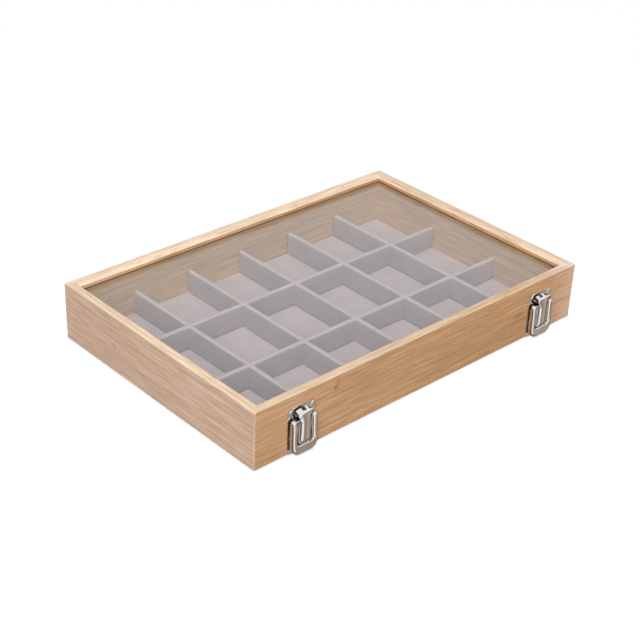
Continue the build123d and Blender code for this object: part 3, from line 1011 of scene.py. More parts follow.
@dataclass(frozen=True)
class VelvetInsert:
    """The velvet-covered floor card and the dividers that stand on it, in millimetres."""

    columns: int = 6
    rows: int = 3
    wall_clearance: float = 0.2
    top_round: float = 1.85
    pad_gap: float = 0.45
    pad_round: float = 0.95
    pad_step: float = 7.0
    unevenness: float = 0.07

    def build(self) -> None:
        """Make and seat the floor card and the two rows of dividers."""
        velvet = Velvet().material()
        card_low, card_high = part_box("floor_lining")
        bar_low, bar_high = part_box("cross_divider_1")
        long_low, long_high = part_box("long_divider_front")
        thickness = (bar_high.x - bar_low.x) / MM
        high = bar_high.z / MM
        middle = (bar_low.z / MM + high) / 2
        low = card_high.z / MM - self.pad_round + 0.02
        cross_length = (bar_high.y - bar_low.y) / MM
        long_length = (long_high.x - long_low.x) / MM
        clear = 2 * self.wall_clearance
        column_pitch = (long_length + clear + thickness) / self.columns
        row_pitch = (cross_length + clear + thickness) / self.rows
        cross = DividerRow(
            "velvet_cross_dividers", cross_length, self.columns - 1, column_pitch, 90.0, low, high,
            thickness, self.top_round, slot_low=middle, slot_high=high + 0.02, cut_length=long_length,
            cut_count=self.rows - 1, cut_pitch=row_pitch, cut_round=self.top_round,
        )
        long = DividerRow(
            "velvet_long_dividers", long_length, self.rows - 1, row_pitch, 0.0, low, high, thickness,
            self.top_round, slot_low=low - 2.0, slot_high=middle, cut_length=cross_length + 2.0,
            cut_count=self.columns - 1, cut_pitch=column_pitch,
        )
        cross_nodes = [f"cross_divider_{n}" for n in range(1, self.columns)]
        seat(cross.build(velvet), "box", "velvet", velvet, *cross_nodes)
        seat(long.build(velvet), "box", "velvet", velvet, "long_divider_front", "long_divider_back")
        floor = self.floor(card_low, card_high, thickness)
        seat(floor, "box", "velvet", velvet, "floor_lining")

    def lines(self, extent: float, count: int, thickness: float) -> list[tuple[float, float]]:
        """Lay the floor's grid lines along one axis, close together at each pad's edge.

        Args:
            extent: the card's size along the axis.
            count: how many compartments lie along it.
            thickness: a divider's thickness.

        Returns:
            For each line its place and how far it lies inside its compartment's pad.
        """
        pitch = (extent + thickness) / count
        clear = (pitch - thickness) / 2
        gap, corner = self.pad_gap, self.pad_round
        inner = [gap + corner * (1 - math.cos(math.radians(a))) for a in (0, 25, 45, 65, 90)]
        steps = max(2, round((2 * clear - 2 * (gap + corner)) / self.pad_step))
        wide = 2 * clear - 2 * (gap + corner)
        spread = [gap + corner + wide * n / steps for n in range(1, steps)]
        near = [0.0, gap - 0.02] + inner
        depths = near + spread + [2 * clear - d for d in reversed(near)]
        result = []
        for cell in range(count):
            start = -extent / 2 + cell * pitch
            for depth in depths:
                result.append((start + depth, min(depth, 2 * clear - depth) - gap))
        return result

    def floor(self, low: Vector, high: Vector, thickness: float) -> bpy.types.Object:
        """Make the floor card: one velvet pad with turned-down edges in each compartment.

        Args:
            low: the lowest corner of the CAD card.
            high: the highest corner of the CAD card.
            thickness: a divider's thickness.

        Returns:
            The card as a plain, closed piece.
        """
        across = self.lines((high.x - low.x) / MM, self.columns, thickness)
        along = self.lines((high.y - low.y) / MM, self.rows, thickness)
        top, corner = high.z / MM - self.unevenness, self.pad_round
        points = []
        for y, y_inside in along:
            for x, x_inside in across:
                inside = min(x_inside, y_inside)
                sunk = corner
                if inside > 0:
                    reach = max(corner - inside, 0.0)
                    sunk = corner - math.sqrt(max(corner**2 - reach**2, 0.0))
                share = 1 - sunk / corner
                wave = noise.noise(Vector((x / 17, y / 17, 3.1))) * self.unevenness * share
                points.append(Vector((x, y, top - sunk + wave)) * MM)
        wide = len(across)
        faces = [
            (r * wide + c, r * wide + c + 1, (r + 1) * wide + c + 1, (r + 1) * wide + c)
            for r in range(len(along) - 1)
            for c in range(wide - 1)
        ]
        data = bpy.data.meshes.new("velvet_floor_card")
        data.from_pydata(points, [], faces)
        mesh = bmesh.new()
        mesh.from_mesh(data)
        border = [edge for edge in mesh.edges if edge.is_boundary]
        made = bmesh.ops.extrude_edge_only(mesh, edges=border)["geom"]
        for item in made:
            if isinstance(item, bmesh.types.BMVert):
                item.co.z = low.z
        bmesh.ops.holes_fill(mesh, edges=[edge for edge in mesh.edges if edge.is_boundary])
        bmesh.ops.recalc_face_normals(mesh, faces=mesh.faces)
        mesh.to_mesh(data)
        mesh.free()
        piece = new_piece("velvet_floor_card", data)
        smooth_by_angle(piece, 40)
        return flattened(piece)


@dataclass(frozen=True)
class Fasteners:
    """Small domed nails or cross-recess screws of one group, in millimetres."""

    name: str
    node: str
    body: str
    slot: str
    faces_front: bool = True
    head_radius: float = 1.75
    head_height: float = 0.6
    shank_radius: float = 0.7
    shank_length: float = 6.5
    sides: int = 28
    recess: float = 0.0

    def points(self) -> list[tuple[float, float, float]]:
        """Find the middle of each head's underside from the group's CAD node."""
        low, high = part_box(self.node)
        groups: list[list[Vector]] = []
        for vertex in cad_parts[self.node].data.vertices:
            place = Vector((vertex.co.x, vertex.co.z))
            near = [g for g in groups if (g[0] - place).length < 3 * self.head_radius * MM]
            if near:
                near[0].append(place)
            else:
                groups.append([place])
        under = high.y - self.head_height * MM
        if self.faces_front:
            under = low.y + self.head_height * MM
        middles = []
        for group in groups:
            across = [place.x for place in group]
            over = [place.y for place in group]
            middles.append(((min(across) + max(across)) / 2, under, (min(over) + max(over)) / 2))
        return middles

    def build(self, material: bpy.types.Material) -> None:
        """Make one fastener in a tree, place it on every point and seat the group.

        Args:
            material: the plating.
        """
        turn = 90.0 if self.faces_front else -90.0
        mesh = bpy.data.meshes.new(self.name)
        mesh.from_pydata(self.points(), [], [])
        piece = new_piece(self.name, mesh)
        recipe = Recipe(self.name)
        places = recipe.given()
        made = self.head(recipe)
        long = recipe.size("Shank Length", self.shank_length)
        shank = recipe.add(
            "GeometryNodeMeshCylinder",
            {"Vertices": 12, "Radius": recipe.size("Shank Radius", self.shank_radius), "Depth": long},
        )
        down = recipe.add("ShaderNodeMath", {0: long, 1: -0.5}, operation="MULTIPLY")
        below = recipe.add("ShaderNodeCombineXYZ", {"Z": down})
        sunk = recipe.add(
            "GeometryNodeTransform", {"Geometry": shank.outputs["Mesh"], "Translation": below}
        )
        whole = recipe.add("GeometryNodeJoinGeometry")
        for socket in (made, sunk.outputs[0]):
            recipe.tree.links.new(socket, whole.inputs[0])
        copies = recipe.add(
            "GeometryNodeInstanceOnPoints",
            {"Points": places, "Instance": whole, "Rotation": (math.radians(turn), 0, 0)},
        )
        recipe.close(copies.outputs[0], material)
        recipe.onto(piece)
        applied(piece)
        smooth_by_angle(piece, 40)
        seat(piece, self.body, self.slot, material, self.node)

    def head(self, recipe: Recipe) -> Socket:
        """Dome a disc into a head, and cut the recess if there is one.

        Args:
            recipe: the tree that is being built.

        Returns:
            The head, with its flat underside at the origin.
        """
        radius = recipe.size("Head Radius", self.head_radius)
        height = recipe.size("Head Height", self.head_height)
        head = recipe.add(
            "GeometryNodeMeshCylinder",
            {
                "Vertices": recipe.count("Sides", self.sides), "Side Segments": 1, "Fill Segments": 6,
                "Radius": radius, "Depth": height,
            },
            fill_type="TRIANGLE_FAN",
        )
        place = recipe.add("GeometryNodeInputPosition")
        axes = recipe.add("ShaderNodeSeparateXYZ", {0: place})
        flat = recipe.add("ShaderNodeCombineXYZ", {"X": axes.outputs["X"], "Y": axes.outputs["Y"]})
        out = recipe.add("ShaderNodeVectorMath", {0: flat}, operation="LENGTH")
        share = recipe.add("ShaderNodeMath", {0: out.outputs["Value"], 1: radius}, operation="DIVIDE")
        square = recipe.add("ShaderNodeMath", {0: share, 1: share}, operation="MULTIPLY")
        dome = recipe.add("ShaderNodeMath", {0: square, 1: -0.85, 2: 1.0}, operation="MULTIPLY_ADD")
        level = recipe.add("ShaderNodeMath", {0: dome, 1: height}, operation="MULTIPLY")
        high = recipe.add(
            "FunctionNodeCompare", {0: axes.outputs["Z"], 1: 0.0}, data_type="FLOAT",
            operation="GREATER_THAN",
        )
        lifted = recipe.add(
            "GeometryNodeSwitch", {"Switch": high, "False": 0.0, "True": level}, input_type="FLOAT"
        )
        where = recipe.add(
            "ShaderNodeCombineXYZ", {"X": axes.outputs["X"], "Y": axes.outputs["Y"], "Z": lifted}
        )
        domed = recipe.add(
            "GeometryNodeSetPosition", {"Geometry": head.outputs["Mesh"], "Position": where}
        )
        return self.recessed(recipe, domed.outputs[0]) if self.recess else domed.outputs[0]

    def recessed(self, recipe: Recipe, head: Socket) -> Socket:
        """Cut a cross recess into a screw's head.

        Args:
            recipe: the tree that is being built.
            head: the domed head.

        Returns:
            The head with its recess.
        """
        depth = recipe.size("Recess Depth", self.head_height)
        span = recipe.size("Recess Span", self.recess)
        width = recipe.size("Recess Width", self.recess * 0.24)
        long = recipe.add("ShaderNodeCombineXYZ", {"X": span, "Y": width, "Z": depth})
        bar = recipe.add("GeometryNodeMeshCube", {"Size": long})
        up = recipe.add("ShaderNodeMath", {0: depth, 1: 0.85}, operation="MULTIPLY")
        rise = recipe.add("ShaderNodeCombineXYZ", {"Z": up})
        cut = head
        for angle in (0.0, 90.0):
            placed = recipe.add(
                "GeometryNodeTransform",
                {
                    "Geometry": bar.outputs["Mesh"], "Translation": rise,
                    "Rotation": (0, 0, math.radians(angle)),
                },
            )
            cut = recipe.add(
                "GeometryNodeMeshBoolean", {"Mesh 1": cut, "Mesh 2": placed},
                operation="DIFFERENCE", solver="EXACT",
            ).outputs[0]
        return cut


def front_scars_and_shade() -> tuple[DarkSpot, ...]:
    """The leaf scars of the front, and painted shade in the catch plates' openings."""
    return (
        DarkSpot(-96.0, -118.0, 43.0, 3.6, 7.0, 0.3), DarkSpot(-98.0, -118.0, 39.4, 2.2, 2.2, 0.5),
        DarkSpot(106.0, -118.0, 24.4, 9.0, 4.0, 0.3), DarkSpot(-157.0, -118.0, 4.0, 7.0, 3.0, 0.1),
        # Painted shade: the wood seen through each catch plate's opening, darkened for its shadow
        DarkSpot(-131.3, -118.0, 34.0, 6.0, 4.5, 0.97), DarkSpot(131.3, -118.0, 34.0, 6.0, 4.5, 0.97),
    )


def left_scars() -> tuple[DarkSpot, ...]:
    """The brown blotch of the left side and the streak that runs on from it."""
    return (DarkSpot(-175.0, 51.6, 22.7, 5.0, 2.6, 0.3), DarkSpot(-175.0, 59.0, 24.2, 7.0, 1.2, 0.22))


def back_scars() -> tuple[DarkSpot, ...]:
    """The small dark spot on top of the back rail."""
    return (DarkSpot(122.9, 111.6, 50.0, 1.7, 1.2, 0.5),)


@dataclass(frozen=True)
class Carcass:
    """The box's four mitred boards and the panel that closes its underside."""

    edge: float = 0.16

    def build(self) -> None:
        """Copy each board with fine edges and give it its own piece of bamboo."""
        front, left = front_scars_and_shade(), left_scars()
        # The inside tone is painted shade for the dim light within the walls
        bare = {"inside": INSIDE_SHADE_TONE}
        woods = {
            "front_board": Bamboo(
                "bamboo_front", Grain.ALONG_X, 1.7, dark_spots=front, far_end=FRONT_DRIFT,
                right_end=FRONT_END, **bare,
            ),
            "back_board": Bamboo("bamboo_back", Grain.ALONG_X, 5.1, **bare),
            "left_board": Bamboo(
                "bamboo_left", Grain.ALONG_Y, 2.9, side=PINKISH_SIDE, dark_spots=left, **bare
            ),
            "right_board": Bamboo("bamboo_right", Grain.ALONG_Y, 8.3, **bare),
            "base_panel": Bamboo("bamboo_base", Grain.ALONG_X, 11.9),
        }
        for node, wood in woods.items():
            piece = bevelled_copy(f"bamboo_{node}", node, self.edge)
            seat(piece, "box", "bamboo", wood.material(), node)


@dataclass(frozen=True)
class Lid:
    """The lid's four mitred rails and the pane in their groove, sawn from the same boards."""

    edge: float = 0.16
    seam_over: float = 0.4
    seam_under: float = 0.5

    def build(self) -> None:
        """Copy each rail with fine edges, and dress the pane."""
        front, left = front_scars_and_shade(), left_scars()
        # The inside tone is painted shade for the dim light within the walls
        bare = {"inside": INSIDE_SHADE_TONE}
        woods = {
            "lid_front_rail": Bamboo(
                "bamboo_lid_front", Grain.ALONG_X, 1.7, top="#E6CAAE", dark_spots=front, far_end=FRONT_DRIFT,
                right_end=FRONT_END, **bare,
            ),
            "lid_back_rail": Bamboo(
                "bamboo_lid_back", Grain.ALONG_X, 5.1, top="#FBE2C6", dark_spots=back_scars(), **bare
            ),
            "lid_left_rail": Bamboo(
                "bamboo_lid_left", Grain.ALONG_Y, 2.9, side=PINKISH_SIDE, dark_spots=left, **bare
            ),
            "lid_right_rail": Bamboo("bamboo_lid_right", Grain.ALONG_Y, 8.3, **bare),
        }
        for node, wood in woods.items():
            piece = bevelled_copy(f"bamboo_{node}", node, self.edge, moved=self.opened)
            seat(piece, "lid", "bamboo", wood.material(), node)
        pane = bevelled_copy("glass_lid_pane", "glass_pane", 0.2)
        seat(pane, "lid", "pane", FloatGlass().material(), "glass_pane")

    def opened(self, place: Vector) -> Vector:
        """Widen the mouth of the pane's groove, where the real one shows a dark seam."""
        low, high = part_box("glass_pane")
        result = place.copy()
        inner = abs(place.x) < GROOVE_MOUTH.x and abs(place.y) < GROOVE_MOUTH.y
        if inner and abs(place.z - high.z) < ON_LEVEL:
            result.z = high.z + self.seam_over * MM
        if inner and abs(place.z - low.z) < ON_LEVEL:
            result.z = low.z - self.seam_under * MM
        return result


@dataclass(frozen=True)
class PressedLever:
    """The latch's lever: a frame pressed from sheet, open at the top, in millimetres.

    Its shoulders are rounded and its rim is turned back all round, also along the window.
    Two lugs of the window's flange reach back to the draw hook's pin.
    """

    half_width: float = 12.3
    low: float = 1.0
    high: float = 30.4
    top_corner: float = 2.6
    foot_corner: float = 6.0
    leg_corner: float = 2.4
    window_half: float = 7.15
    sill: float = 8.2
    sill_corner: float = 1.3
    sill_share: float = 0.2
    shoulder: float = 2.4
    sheet: float = 0.8
    edge: float = 0.15
    face: tuple[tuple[float, float], ...] = (
        (1.0, 6.97), (6.0, 6.45), (10.0, 6.0), (24.0, 5.8), (30.4, 5.2)
    )
    rim: tuple[tuple[float, float], ...] = ((1.6, 3.6), (10.0, 1.7), (22.0, 1.7), (26.0, 2.35))
    lug_level: float = 16.2
    lug_depth: float = 1.25

    def outline(self, inset: float) -> list[tuple[float, float]]:
        """Draw the frame's outline, moved inwards.

        Args:
            inset: how far it is moved into the metal.

        Returns:
            The points across and up, always as many and in the same order.
        """
        wide, window = self.half_width - inset, self.window_half + inset
        top, foot = self.high - inset, self.low + inset
        sill = self.sill - self.sill_share * inset
        up, down, left, right = (0, 1), (0, -1), (-1, 0), (1, 0)
        convex = (self.leg_corner, self.top_corner, self.foot_corner)
        leg, shoulder, heel = (max(radius - inset, 0.03) for radius in convex)
        inner = self.sill_corner + inset
        side = (24.5, 22.5, 20.5, 19.0, 17.7, 16.2, 14.7, 13.4, 12.0, 10.6, 9.2)
        flange = (27.6, 25.5, 23.5, 21.5, 20.2, 19.3, 18.6, 18.0, 17.3, 16.2)
        flange += (15.1, 14.4, 13.8, 13.1, 12.3, 11.6)
        corners = (
            ((-window, top), leg, up, left, ()), ((-wide, top), shoulder, left, down, side),
            ((-wide, foot), heel, down, right, (-4.0, -2.0, 0.0, 2.0, 4.0)),
            ((wide, foot), heel, right, up, side[::-1]), ((wide, top), shoulder, up, left, ()),
            ((window, top), leg, left, down, flange),
            ((window, sill), inner, down, left, (4.0, 2.0, 0.0, -2.0, -4.0)),
            ((-window, sill), inner, left, up, flange[::-1]),
        )
        points = []
        for (x, z), radius, come, go, straight in corners:
            middle = (x + radius * (go[0] - come[0]), z + radius * (go[1] - come[1]))
            for n in range(9):
                turn = math.radians(90 * n / 8)
                away = [-g * math.cos(turn) + c * math.sin(turn) for g, c in zip(go, come)]
                points.append((middle[0] + radius * away[0], middle[1] + radius * away[1]))
            last = points[-1]
            for place in straight:
                points.append((place, last[1]) if go[0] else (last[0], place))
        return points

    def back(self, x: float, z: float) -> float:
        """Give how far from the wall the turned rim ends at a place.

        Args:
            x: across the latch.
            z: up.

        Returns:
            The distance from the front board.
        """
        end = between(z, self.rim)
        if abs(x) < self.window_half + self.sheet + 0.1 and z > self.sill + self.sill_corner:
            off = min(max((abs(z - self.lug_level) - 1.3) / 2.0, 0.0), 1.0)
            soft = off * off * (3 - 2 * off)
            end = self.lug_depth + (end - self.lug_depth) * soft
        return end

    def build(self, name: str, middle: float, front: float) -> bpy.types.Object:
        """Make the lever's skin, inside and outside.

        Args:
            name: the piece's name.
            middle: where the latch stands across the tray.
            front: where the board's face is.

        Returns:
            The lever as a closed piece.
        """
        turns = [math.radians(90 * n / 7) for n in range(8)]
        inner = self.shoulder - self.sheet
        skin = [(self.shoulder - inner * math.cos(t), inner * math.sin(t)) for t in turns[::-1]]
        rim = [(self.sheet, self.edge), (self.sheet - self.edge, 0.0), (self.edge, 0.0)]
        rim.append((0.0, self.edge))
        cover = [(self.shoulder * (1 - math.cos(t)), self.shoulder * math.sin(t)) for t in turns]
        loops = []
        for inset, lift in skin + rim + cover:
            loop = []
            for x, z in self.outline(inset):
                out = between(z, self.face) - self.shoulder + lift
                if len(skin) <= len(loops) < len(skin + rim):
                    out = self.back(x, z) + lift
                loop.append(Vector((middle + x, front - out, z)) * MM)
            loops.append(loop)
        return closed_shell(name, loops)


@dataclass(frozen=True)
class PressedHook:
    """The latch's draw hook: a crowned tongue with turned sides and a roof, in millimetres.

    The roof runs back from the tongue's top over the catch plate's lip to the plate.
    """

    roof_level: float = 35.1
    roof_radius: float = 2.0
    roof_slope: float = 20.0
    roof_length: float = 3.1
    path: tuple[tuple[float, float], ...] = (
        (8.3, 5.2), (12.0, 6.4), (21.0, 6.45), (30.0, 6.5), (35.1, 6.55)
    )
    width: tuple[tuple[float, float], ...] = ((13.5, 6.0), (21.0, 5.7), (31.0, 5.9), (33.2, 7.3))
    turned: tuple[tuple[float, float], ...] = ((8.3, 3.4), (12.0, 4.2), (27.0, 4.2), (31.2, 0.0))
    edge_round: tuple[tuple[float, float], ...] = ((27.0, 2.9), (31.0, 0.0))
    crown: tuple[tuple[float, float], ...] = ((10.0, 0.8), (14.0, 1.2), (35.1, 1.25))
    ear_level: float = 16.2
    ear_depth: float = 5.2
    tip_corner: float = 2.0
    sheet: float = 0.8
    edge: float = 0.13

    def build(self, name: str, middle: float, front: float) -> bpy.types.Object:
        """Make the hook's skin, inside and outside.

        Args:
            name: the piece's name.
            middle: where the latch stands across the tray.
            front: where the board's face is.

        Returns:
            The hook as a closed piece.
        """
        loops = []
        for place, away, level in self.roof() + self.tongue():
            wide = self.wide(level)
            left = level - self.path[0][0]
            if left < self.tip_corner:
                rest = self.tip_corner - left
                wide -= self.tip_corner - math.sqrt(max(self.tip_corner**2 - rest**2, 0.0))
            loop = []
            for x, depth in self.section(wide, level):
                spot = place + (self.sheet / 2 - depth) * away
                loop.append(Vector((middle + x, front - spot.x, spot.y)) * MM)
            loops.append(loop)
        return closed_shell(name, loops)

    def roof(self) -> list[tuple[Vector, Vector, float]]:
        """Lay out the roof from its back edge to the top of the tongue.

        Returns:
            For each section its middle, the way it faces, and its level.
        """
        top = self.path[-1][1]
        turn = math.radians(90 - self.roof_slope)
        centre = Vector((top - self.roof_radius, self.roof_level))
        away = Vector((math.cos(turn), math.sin(turn)))
        back = Vector((-away.y, away.x))
        start = centre + self.roof_radius * away
        result = []
        for n in range(8):
            result.append((start + back * self.roof_length * (1 - n / 8), away, self.roof_level))
        for n in range(10):
            part = turn * (1 - n / 10)
            faced = Vector((math.cos(part), math.sin(part)))
            result.append((centre + self.roof_radius * faced, faced, self.roof_level))
        return result

    def tongue(self) -> list[tuple[Vector, Vector, float]]:
        """Lay out the tongue from the roof down to its tip.

        Returns:
            For each section its middle, the way it faces, and its level.
        """
        low, high, count = self.path[0][0], self.path[-1][0], 66
        result = []
        for n in range(count + 1):
            level = high - (high - low) * n / count
            slope = (self.out(level + 0.3) - self.out(level - 0.3)) / 0.6
            away = Vector((1.0, -slope)).normalized()
            result.append((Vector((self.out(level), level)), away, level))
        return result

    def out(self, level: float) -> float:
        """Give how far from the wall the sheet's middle runs, with softened bends."""
        return sum(between(level + step, self.path) for step in (-1.2, -0.6, 0, 0.6, 1.2)) / 5

    def wide(self, level: float) -> float:
        """Give half the hook's width, with a soft throat under the roof."""
        return sum(between(level + step, self.width) for step in (-0.5, -0.25, 0, 0.25, 0.5)) / 5

    def deep(self, level: float) -> float:
        """Give how deep the sides are turned, deeper where they are ears for the pin."""
        off = min(max((abs(level - self.ear_level) - 1.2) / 2.0, 0.0), 1.0)
        soft = off * off * (3 - 2 * off)
        return self.ear_depth + (between(level, self.turned) - self.ear_depth) * soft

    def section(self, wide: float, level: float) -> list[tuple[float, float]]:
        """Draw the sheet's section across the hook.

        Args:
            wide: half its width.
            level: how high the section lies.

        Returns:
            A closed loop of places across and depths below the outer face.
        """
        corner, deep = between(level, self.edge_round), self.deep(level)
        crown = between(level, self.crown)
        half = self.sheet / 2
        bend = max(corner - half, 0.0)
        share = min(corner / half, 1.0)
        run = wide - corner - self.edge * (1 - share)
        chain = [(run * n / 8, half, 0.0, -1.0) for n in range(8)]
        for n in range(9):
            turn = math.radians(90 * n / 8) * share
            over = half + bend * (1 - math.cos(turn))
            chain.append((run + bend * math.sin(turn), over, math.sin(turn), -math.cos(turn)))
        x, depth, across, over = chain[-1]
        long = max(deep - depth - self.edge, 0.0) * share
        for n in range(1, 5):
            step = long * n / 4
            chain.append((x - over * step, depth + across * step, across, over))
        outer, inner = [], []
        for x, depth, across, over in chain:
            dip = crown * min(x / wide, 1.0) ** 2
            outer.append((x + across * half, depth + dip + over * half))
            inner.append((x - across * half, depth + dip - over * half))
        ends = self.rounded_end(outer[-1], inner[-1])
        right = outer + ends + inner[::-1]
        left = [(-x, depth) for x, depth in right[1:-1][::-1]]
        return right + left

    def rounded_end(
        self, outer: tuple[float, float], inner: tuple[float, float]
    ) -> list[tuple[float, float]]:
        """Round the sheet's cut edge a little between its outer and its inner face."""
        start, end = Vector(outer), Vector(inner)
        along = (end - start).normalized()
        out = Vector((along.y, -along.x))
        first = start + along * self.edge + out * self.edge
        last = end - along * self.edge + out * self.edge
        return [tuple(first), tuple(last)]


@dataclass(frozen=True)
class DrawLatch:
    """One draw latch: two plates, a lever with its pin, and the hook with its pin."""

    side: Side
    plate_edge: float = 0.2
    pin_edge: float = 0.1
    opening_top: float = 36.2
    opening_half: float = 5.65
    moved_across: tuple[float, float] = (5.52, 7.5)
    moved_up: tuple[float, float] = (30.0, 38.2)

    def build(self, chrome: bpy.types.Material) -> None:
        """Copy the plates and pins with fine edges, and press the lever and the hook.

        Args:
            chrome: the bright plating.
        """
        word = self.side.word
        low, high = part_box(f"latch_catch_{word}")
        middle = (low.x + high.x) / 2 / MM
        front = high.y / MM

        def closer(place: Vector) -> Vector:
            """Draw the edge of the lip's opening in, as close as a press leaves it."""
            off, up, result = place.x / MM - middle, place.z / MM, place.copy()
            (near, far), (under, over) = self.moved_across, self.moved_up
            if near < abs(off) < far and under < up < over:
                result.x = (middle + math.copysign(self.opening_half, off)) * MM
                if up > self.opening_top:
                    result.z = self.opening_top * MM
            return result

        copies = (
            ("catch_plate", "latch_catch", "lid", self.plate_edge, closer),
            ("base_plate", "latch_base", "box", self.plate_edge, None),
            ("lever_pin", "lever_pin", "box", self.pin_edge, None),
            ("hook_pin", "hook_pin", f"lever_{word}", self.pin_edge, None),
        )
        for kind, node, body, edge, moved in copies:
            piece = bevelled_copy(f"chrome_{kind}_{word}", f"{node}_{word}", edge, 3, moved)
            seat(piece, body, "latch_chrome", chrome, f"{node}_{word}")
        lever = PressedLever().build(f"chrome_lever_{word}", middle, front)
        seat(lever, f"lever_{word}", "latch_chrome", chrome, f"latch_lever_{word}")
        hook = PressedHook().build(f"chrome_draw_hook_{word}", middle, front)
        seat(hook, f"hook_{word}", "latch_chrome", chrome, f"draw_hook_{word}")


@dataclass(frozen=True)
class ButtHinge:
    """One butt hinge: the two leaves with their knuckles, and the pin."""

    side: Side
    edge: float = 0.12

    def build(self, steel: bpy.types.Material) -> None:
        """Copy the leaves and the pin with fine edges.

        Args:
            steel: the plated steel.
        """
        word = self.side.word
        for kind, body in (("hinge_box_leaf", "box"), ("hinge_lid_leaf", "lid"), ("hinge_pin", "box")):
            piece = bevelled_copy(f"steel_{kind}_{word}", f"{kind}_{word}", self.edge)
            seat(piece, body, "hinge_steel", steel, f"{kind}_{word}")


@dataclass(frozen=True)
class Flag:
    """A dim direction around the tray, which only polished metal shows."""

    towards: tuple[float, float, float]
    half_angle: float
    soft_angle: float
    shade: str


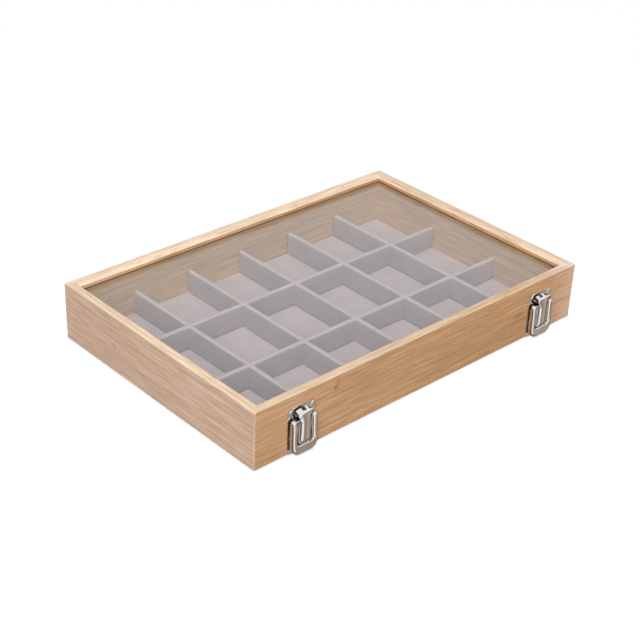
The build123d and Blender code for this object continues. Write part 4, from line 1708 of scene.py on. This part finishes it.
@dataclass(frozen=True)
class Studio:
    """The white floor, the soft light and the camera. Sizes are in millimetres."""

    azimuth: float = -43.501
    elevation: float = 30.618
    roll: float = 2.474
    distance: float = 1217.255
    target: tuple[float, float, float] = (3.917, 9.142, 0.0)
    lens: float = 81.55
    floor_span: float = 9000.0
    floor_white: str = "#E4E4E4"
    floor_dark: str = "#545250"
    backdrop_share: float = 0.94
    floor_glow: float = 1.03
    contact_reach: float = 1.8
    contact_power: float = 2.0
    contact_samples: int = 16
    sky: float = 0.3
    lamp_place: tuple[float, float, float] = (-1500.0, -1500.0, 2100.0)
    lamp_span: float = 2500.0
    lamp_power: float = 92.0
    flags: tuple[Flag, ...] = (
        Flag((0.0, 0.0, -1.0), 32.0, 12.0, "#6B6058"), Flag((0.68, -0.57, -0.46), 25.0, 8.0, "#9E8F87"),
        Flag((0.75, 0.3, -0.59), 30.0, 10.0, "#4A423C"),
        Flag((-0.88, 0.0, -0.47), 42.0, 9.0, "#7C6660"), Flag((0.7, -0.5, -0.5), 5.0, 12.0, "#BBAC9E"),
        Flag((0.47, 0.08, 0.87), 6.0, 4.0, "#3E3F4C"), Flag((0.9, 0.2, 0.42), 14.0, 5.0, "#3A3330"),
    )

    def build(self) -> None:
        """Make the camera, the floor, the world and the lamp."""
        self.camera()
        self.floor()
        self.world()
        self.softbox("softbox_front_left", self.lamp_place, self.lamp_span, self.lamp_power)
        bpy.context.scene.view_settings.view_transform = "Standard"

    def camera(self) -> None:
        """Stand the camera where the photograph was taken from."""
        across, high = math.radians(self.azimuth), math.radians(self.elevation)
        back = Vector(
            (math.sin(across) * math.cos(high), -math.cos(across) * math.cos(high), math.sin(high))
        )
        right = (-back).cross(Vector((0, 0, 1))).normalized()
        up = right.cross(-back)
        lean = math.radians(self.roll)
        leaning_right = math.cos(lean) * right + math.sin(lean) * up
        leaning_up = math.cos(lean) * up - math.sin(lean) * right
        data = bpy.data.cameras.new("camera")
        data.lens = self.lens
        data.clip_end = 100.0
        camera = bpy.data.objects.new("camera", data)
        bpy.context.scene.collection.objects.link(camera)
        turn = Matrix((leaning_right, leaning_up, back)).transposed().to_4x4()
        place = (Vector(self.target) + back * self.distance) * MM
        camera.matrix_world = Matrix.Translation(place) @ turn
        bpy.context.scene.camera = camera

    def floor(self) -> None:
        """Lay the floor: white and softly shadowed where it is seen, dim where it lights."""
        half = self.floor_span * MM / 2
        mesh = bpy.data.meshes.new("floor")
        corners = [(-half, -half, 0), (half, -half, 0), (half, half, 0), (-half, half, 0)]
        mesh.from_pydata(corners, [], [(0, 1, 2, 3)])
        floor = new_piece("floor", mesh)
        floor.visible_glossy = False
        material, tree = empty_material("paper_white_seamless")
        seen = self.seen(tree)
        tone = add(
            tree, "ShaderNodeMix",
            {MIX_FACTOR: seen, MIX_A: linear(self.floor_dark), MIX_B: linear(self.floor_white)},
            data_type="RGBA",
        )
        matt = add(tree, "ShaderNodeBsdfDiffuse", {"Color": tone.outputs[MIX_RESULT]})
        white = add(tree, "ShaderNodeEmission", {"Strength": self.floor_glow})
        # The glow gives way near the tray with the ambient occlusion: a thin painted contact shadow
        # over the real shadow that the matt part keeps
        open_sky = add(
            tree, "ShaderNodeAmbientOcclusion", {"Distance": self.contact_reach * MM},
            samples=self.contact_samples,
        )
        bare = add(
            tree, "ShaderNodeMath", {0: open_sky.outputs["AO"], 1: self.contact_power},
            operation="POWER",
        )
        level = add(tree, "ShaderNodeMath", {0: bare, 1: self.backdrop_share}, operation="MULTIPLY")
        share = add(tree, "ShaderNodeMath", {0: seen, 1: level}, operation="MULTIPLY")
        mixed = add(tree, "ShaderNodeMixShader", {0: share, 1: matt, 2: white})
        add(tree, "ShaderNodeOutputMaterial", {"Surface": mixed})
        dress(floor, material)

    def seen(self, tree: Tree) -> Socket:
        """Give 1 for a ray from the camera, a mirror or glass, and 0 for the others.

        Args:
            tree: the tree of the floor or the world.

        Returns:
            The socket with that share.
        """
        path = add(tree, "ShaderNodeLightPath")
        glossy = add(
            tree, "ShaderNodeMath",
            {0: path.outputs["Is Glossy Ray"], 1: path.outputs["Is Transmission Ray"]},
            operation="MAXIMUM",
        )
        either = add(
            tree, "ShaderNodeMath", {0: path.outputs["Is Camera Ray"], 1: glossy}, operation="MAXIMUM"
        )
        return either.outputs[0]

    def world(self) -> None:
        """Surround the tray with soft light that looks white, but for the metal's flags."""
        world = bpy.data.worlds.new("surround")
        bpy.context.scene.world = world
        world.use_nodes = True
        tree = world.node_tree
        tree.nodes.clear()
        place = add(tree, "ShaderNodeTexCoord").outputs["Object"]
        mirrored = add(tree, "ShaderNodeLightPath").outputs["Is Glossy Ray"]
        colour = (1.0, 1.0, 1.0, 1.0)
        for flag in self.flags:
            near = add(
                tree, "ShaderNodeVectorMath", {0: place, 1: tuple(Vector(flag.towards).normalized())},
                operation="DOT_PRODUCT",
            )
            outer = math.cos(math.radians(flag.half_angle + flag.soft_angle))
            inner = math.cos(math.radians(flag.half_angle))
            inside = ranged(tree, near.outputs["Value"], outer, inner, 0.0, 1.0)
            share = add(tree, "ShaderNodeMath", {0: inside, 1: mirrored}, operation="MULTIPLY")
            mixed = add(
                tree, "ShaderNodeMix", {MIX_FACTOR: share, MIX_A: colour, MIX_B: linear(flag.shade)},
                data_type="RGBA",
            )
            colour = mixed.outputs[MIX_RESULT]
        strength = ranged(tree, self.seen(tree), 0.0, 1.0, self.sky, 1.0)
        light = add(tree, "ShaderNodeBackground", {"Color": colour, "Strength": strength})
        add(tree, "ShaderNodeOutputWorld", {"Surface": light})

    def softbox(self, name: str, place: tuple[float, float, float], span: float, power: float) -> None:
        """Hang a square softbox that points at the tray.

        Args:
            name: the lamp's name.
            place: where it hangs.
            span: how wide it is.
            power: its power in watts.
        """
        data = bpy.data.lights.new(name, "AREA")
        data.shape = "SQUARE"
        data.size = span * MM
        data.energy = power
        lamp = bpy.data.objects.new(name, data)
        bpy.context.scene.collection.objects.link(lamp)
        lamp.location = Vector(place) * MM
        lamp.rotation_euler = (-lamp.location).to_track_quat("-Z", "Y").to_euler()
        lamp.visible_glossy = False


def main() -> None:
    """Build the tray's sub-assemblies in order."""
    logging.basicConfig(level=logging.INFO, format="%(name)s: %(message)s")
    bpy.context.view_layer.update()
    chrome = PlatedMetal("steel_chrome_plated", "#E6E3DF", 0.06, 0.09).material()
    steel = PlatedMetal("steel_nickel_plated", "#C2BDB4", 0.24, 0.14).material()
    Studio().build()
    Carcass().build()
    Lid().build()
    VelvetInsert().build()
    for side in Side:
        DrawLatch(side).build(chrome)
        ButtHinge(side).build(steel)
    Fasteners("chrome_catch_nails", "latch_catch_nails", "lid", "latch_chrome").build(chrome)
    Fasteners("chrome_base_nails", "latch_base_nails", "box", "latch_chrome").build(chrome)
    for kind, body in (("hinge_box_screws", "box"), ("hinge_lid_screws", "lid")):
        screws = Fasteners(f"steel_{kind}", kind, body, "hinge_steel", False, recess=2.0)
        screws.build(steel)


if __name__ == "__main__":
    main()
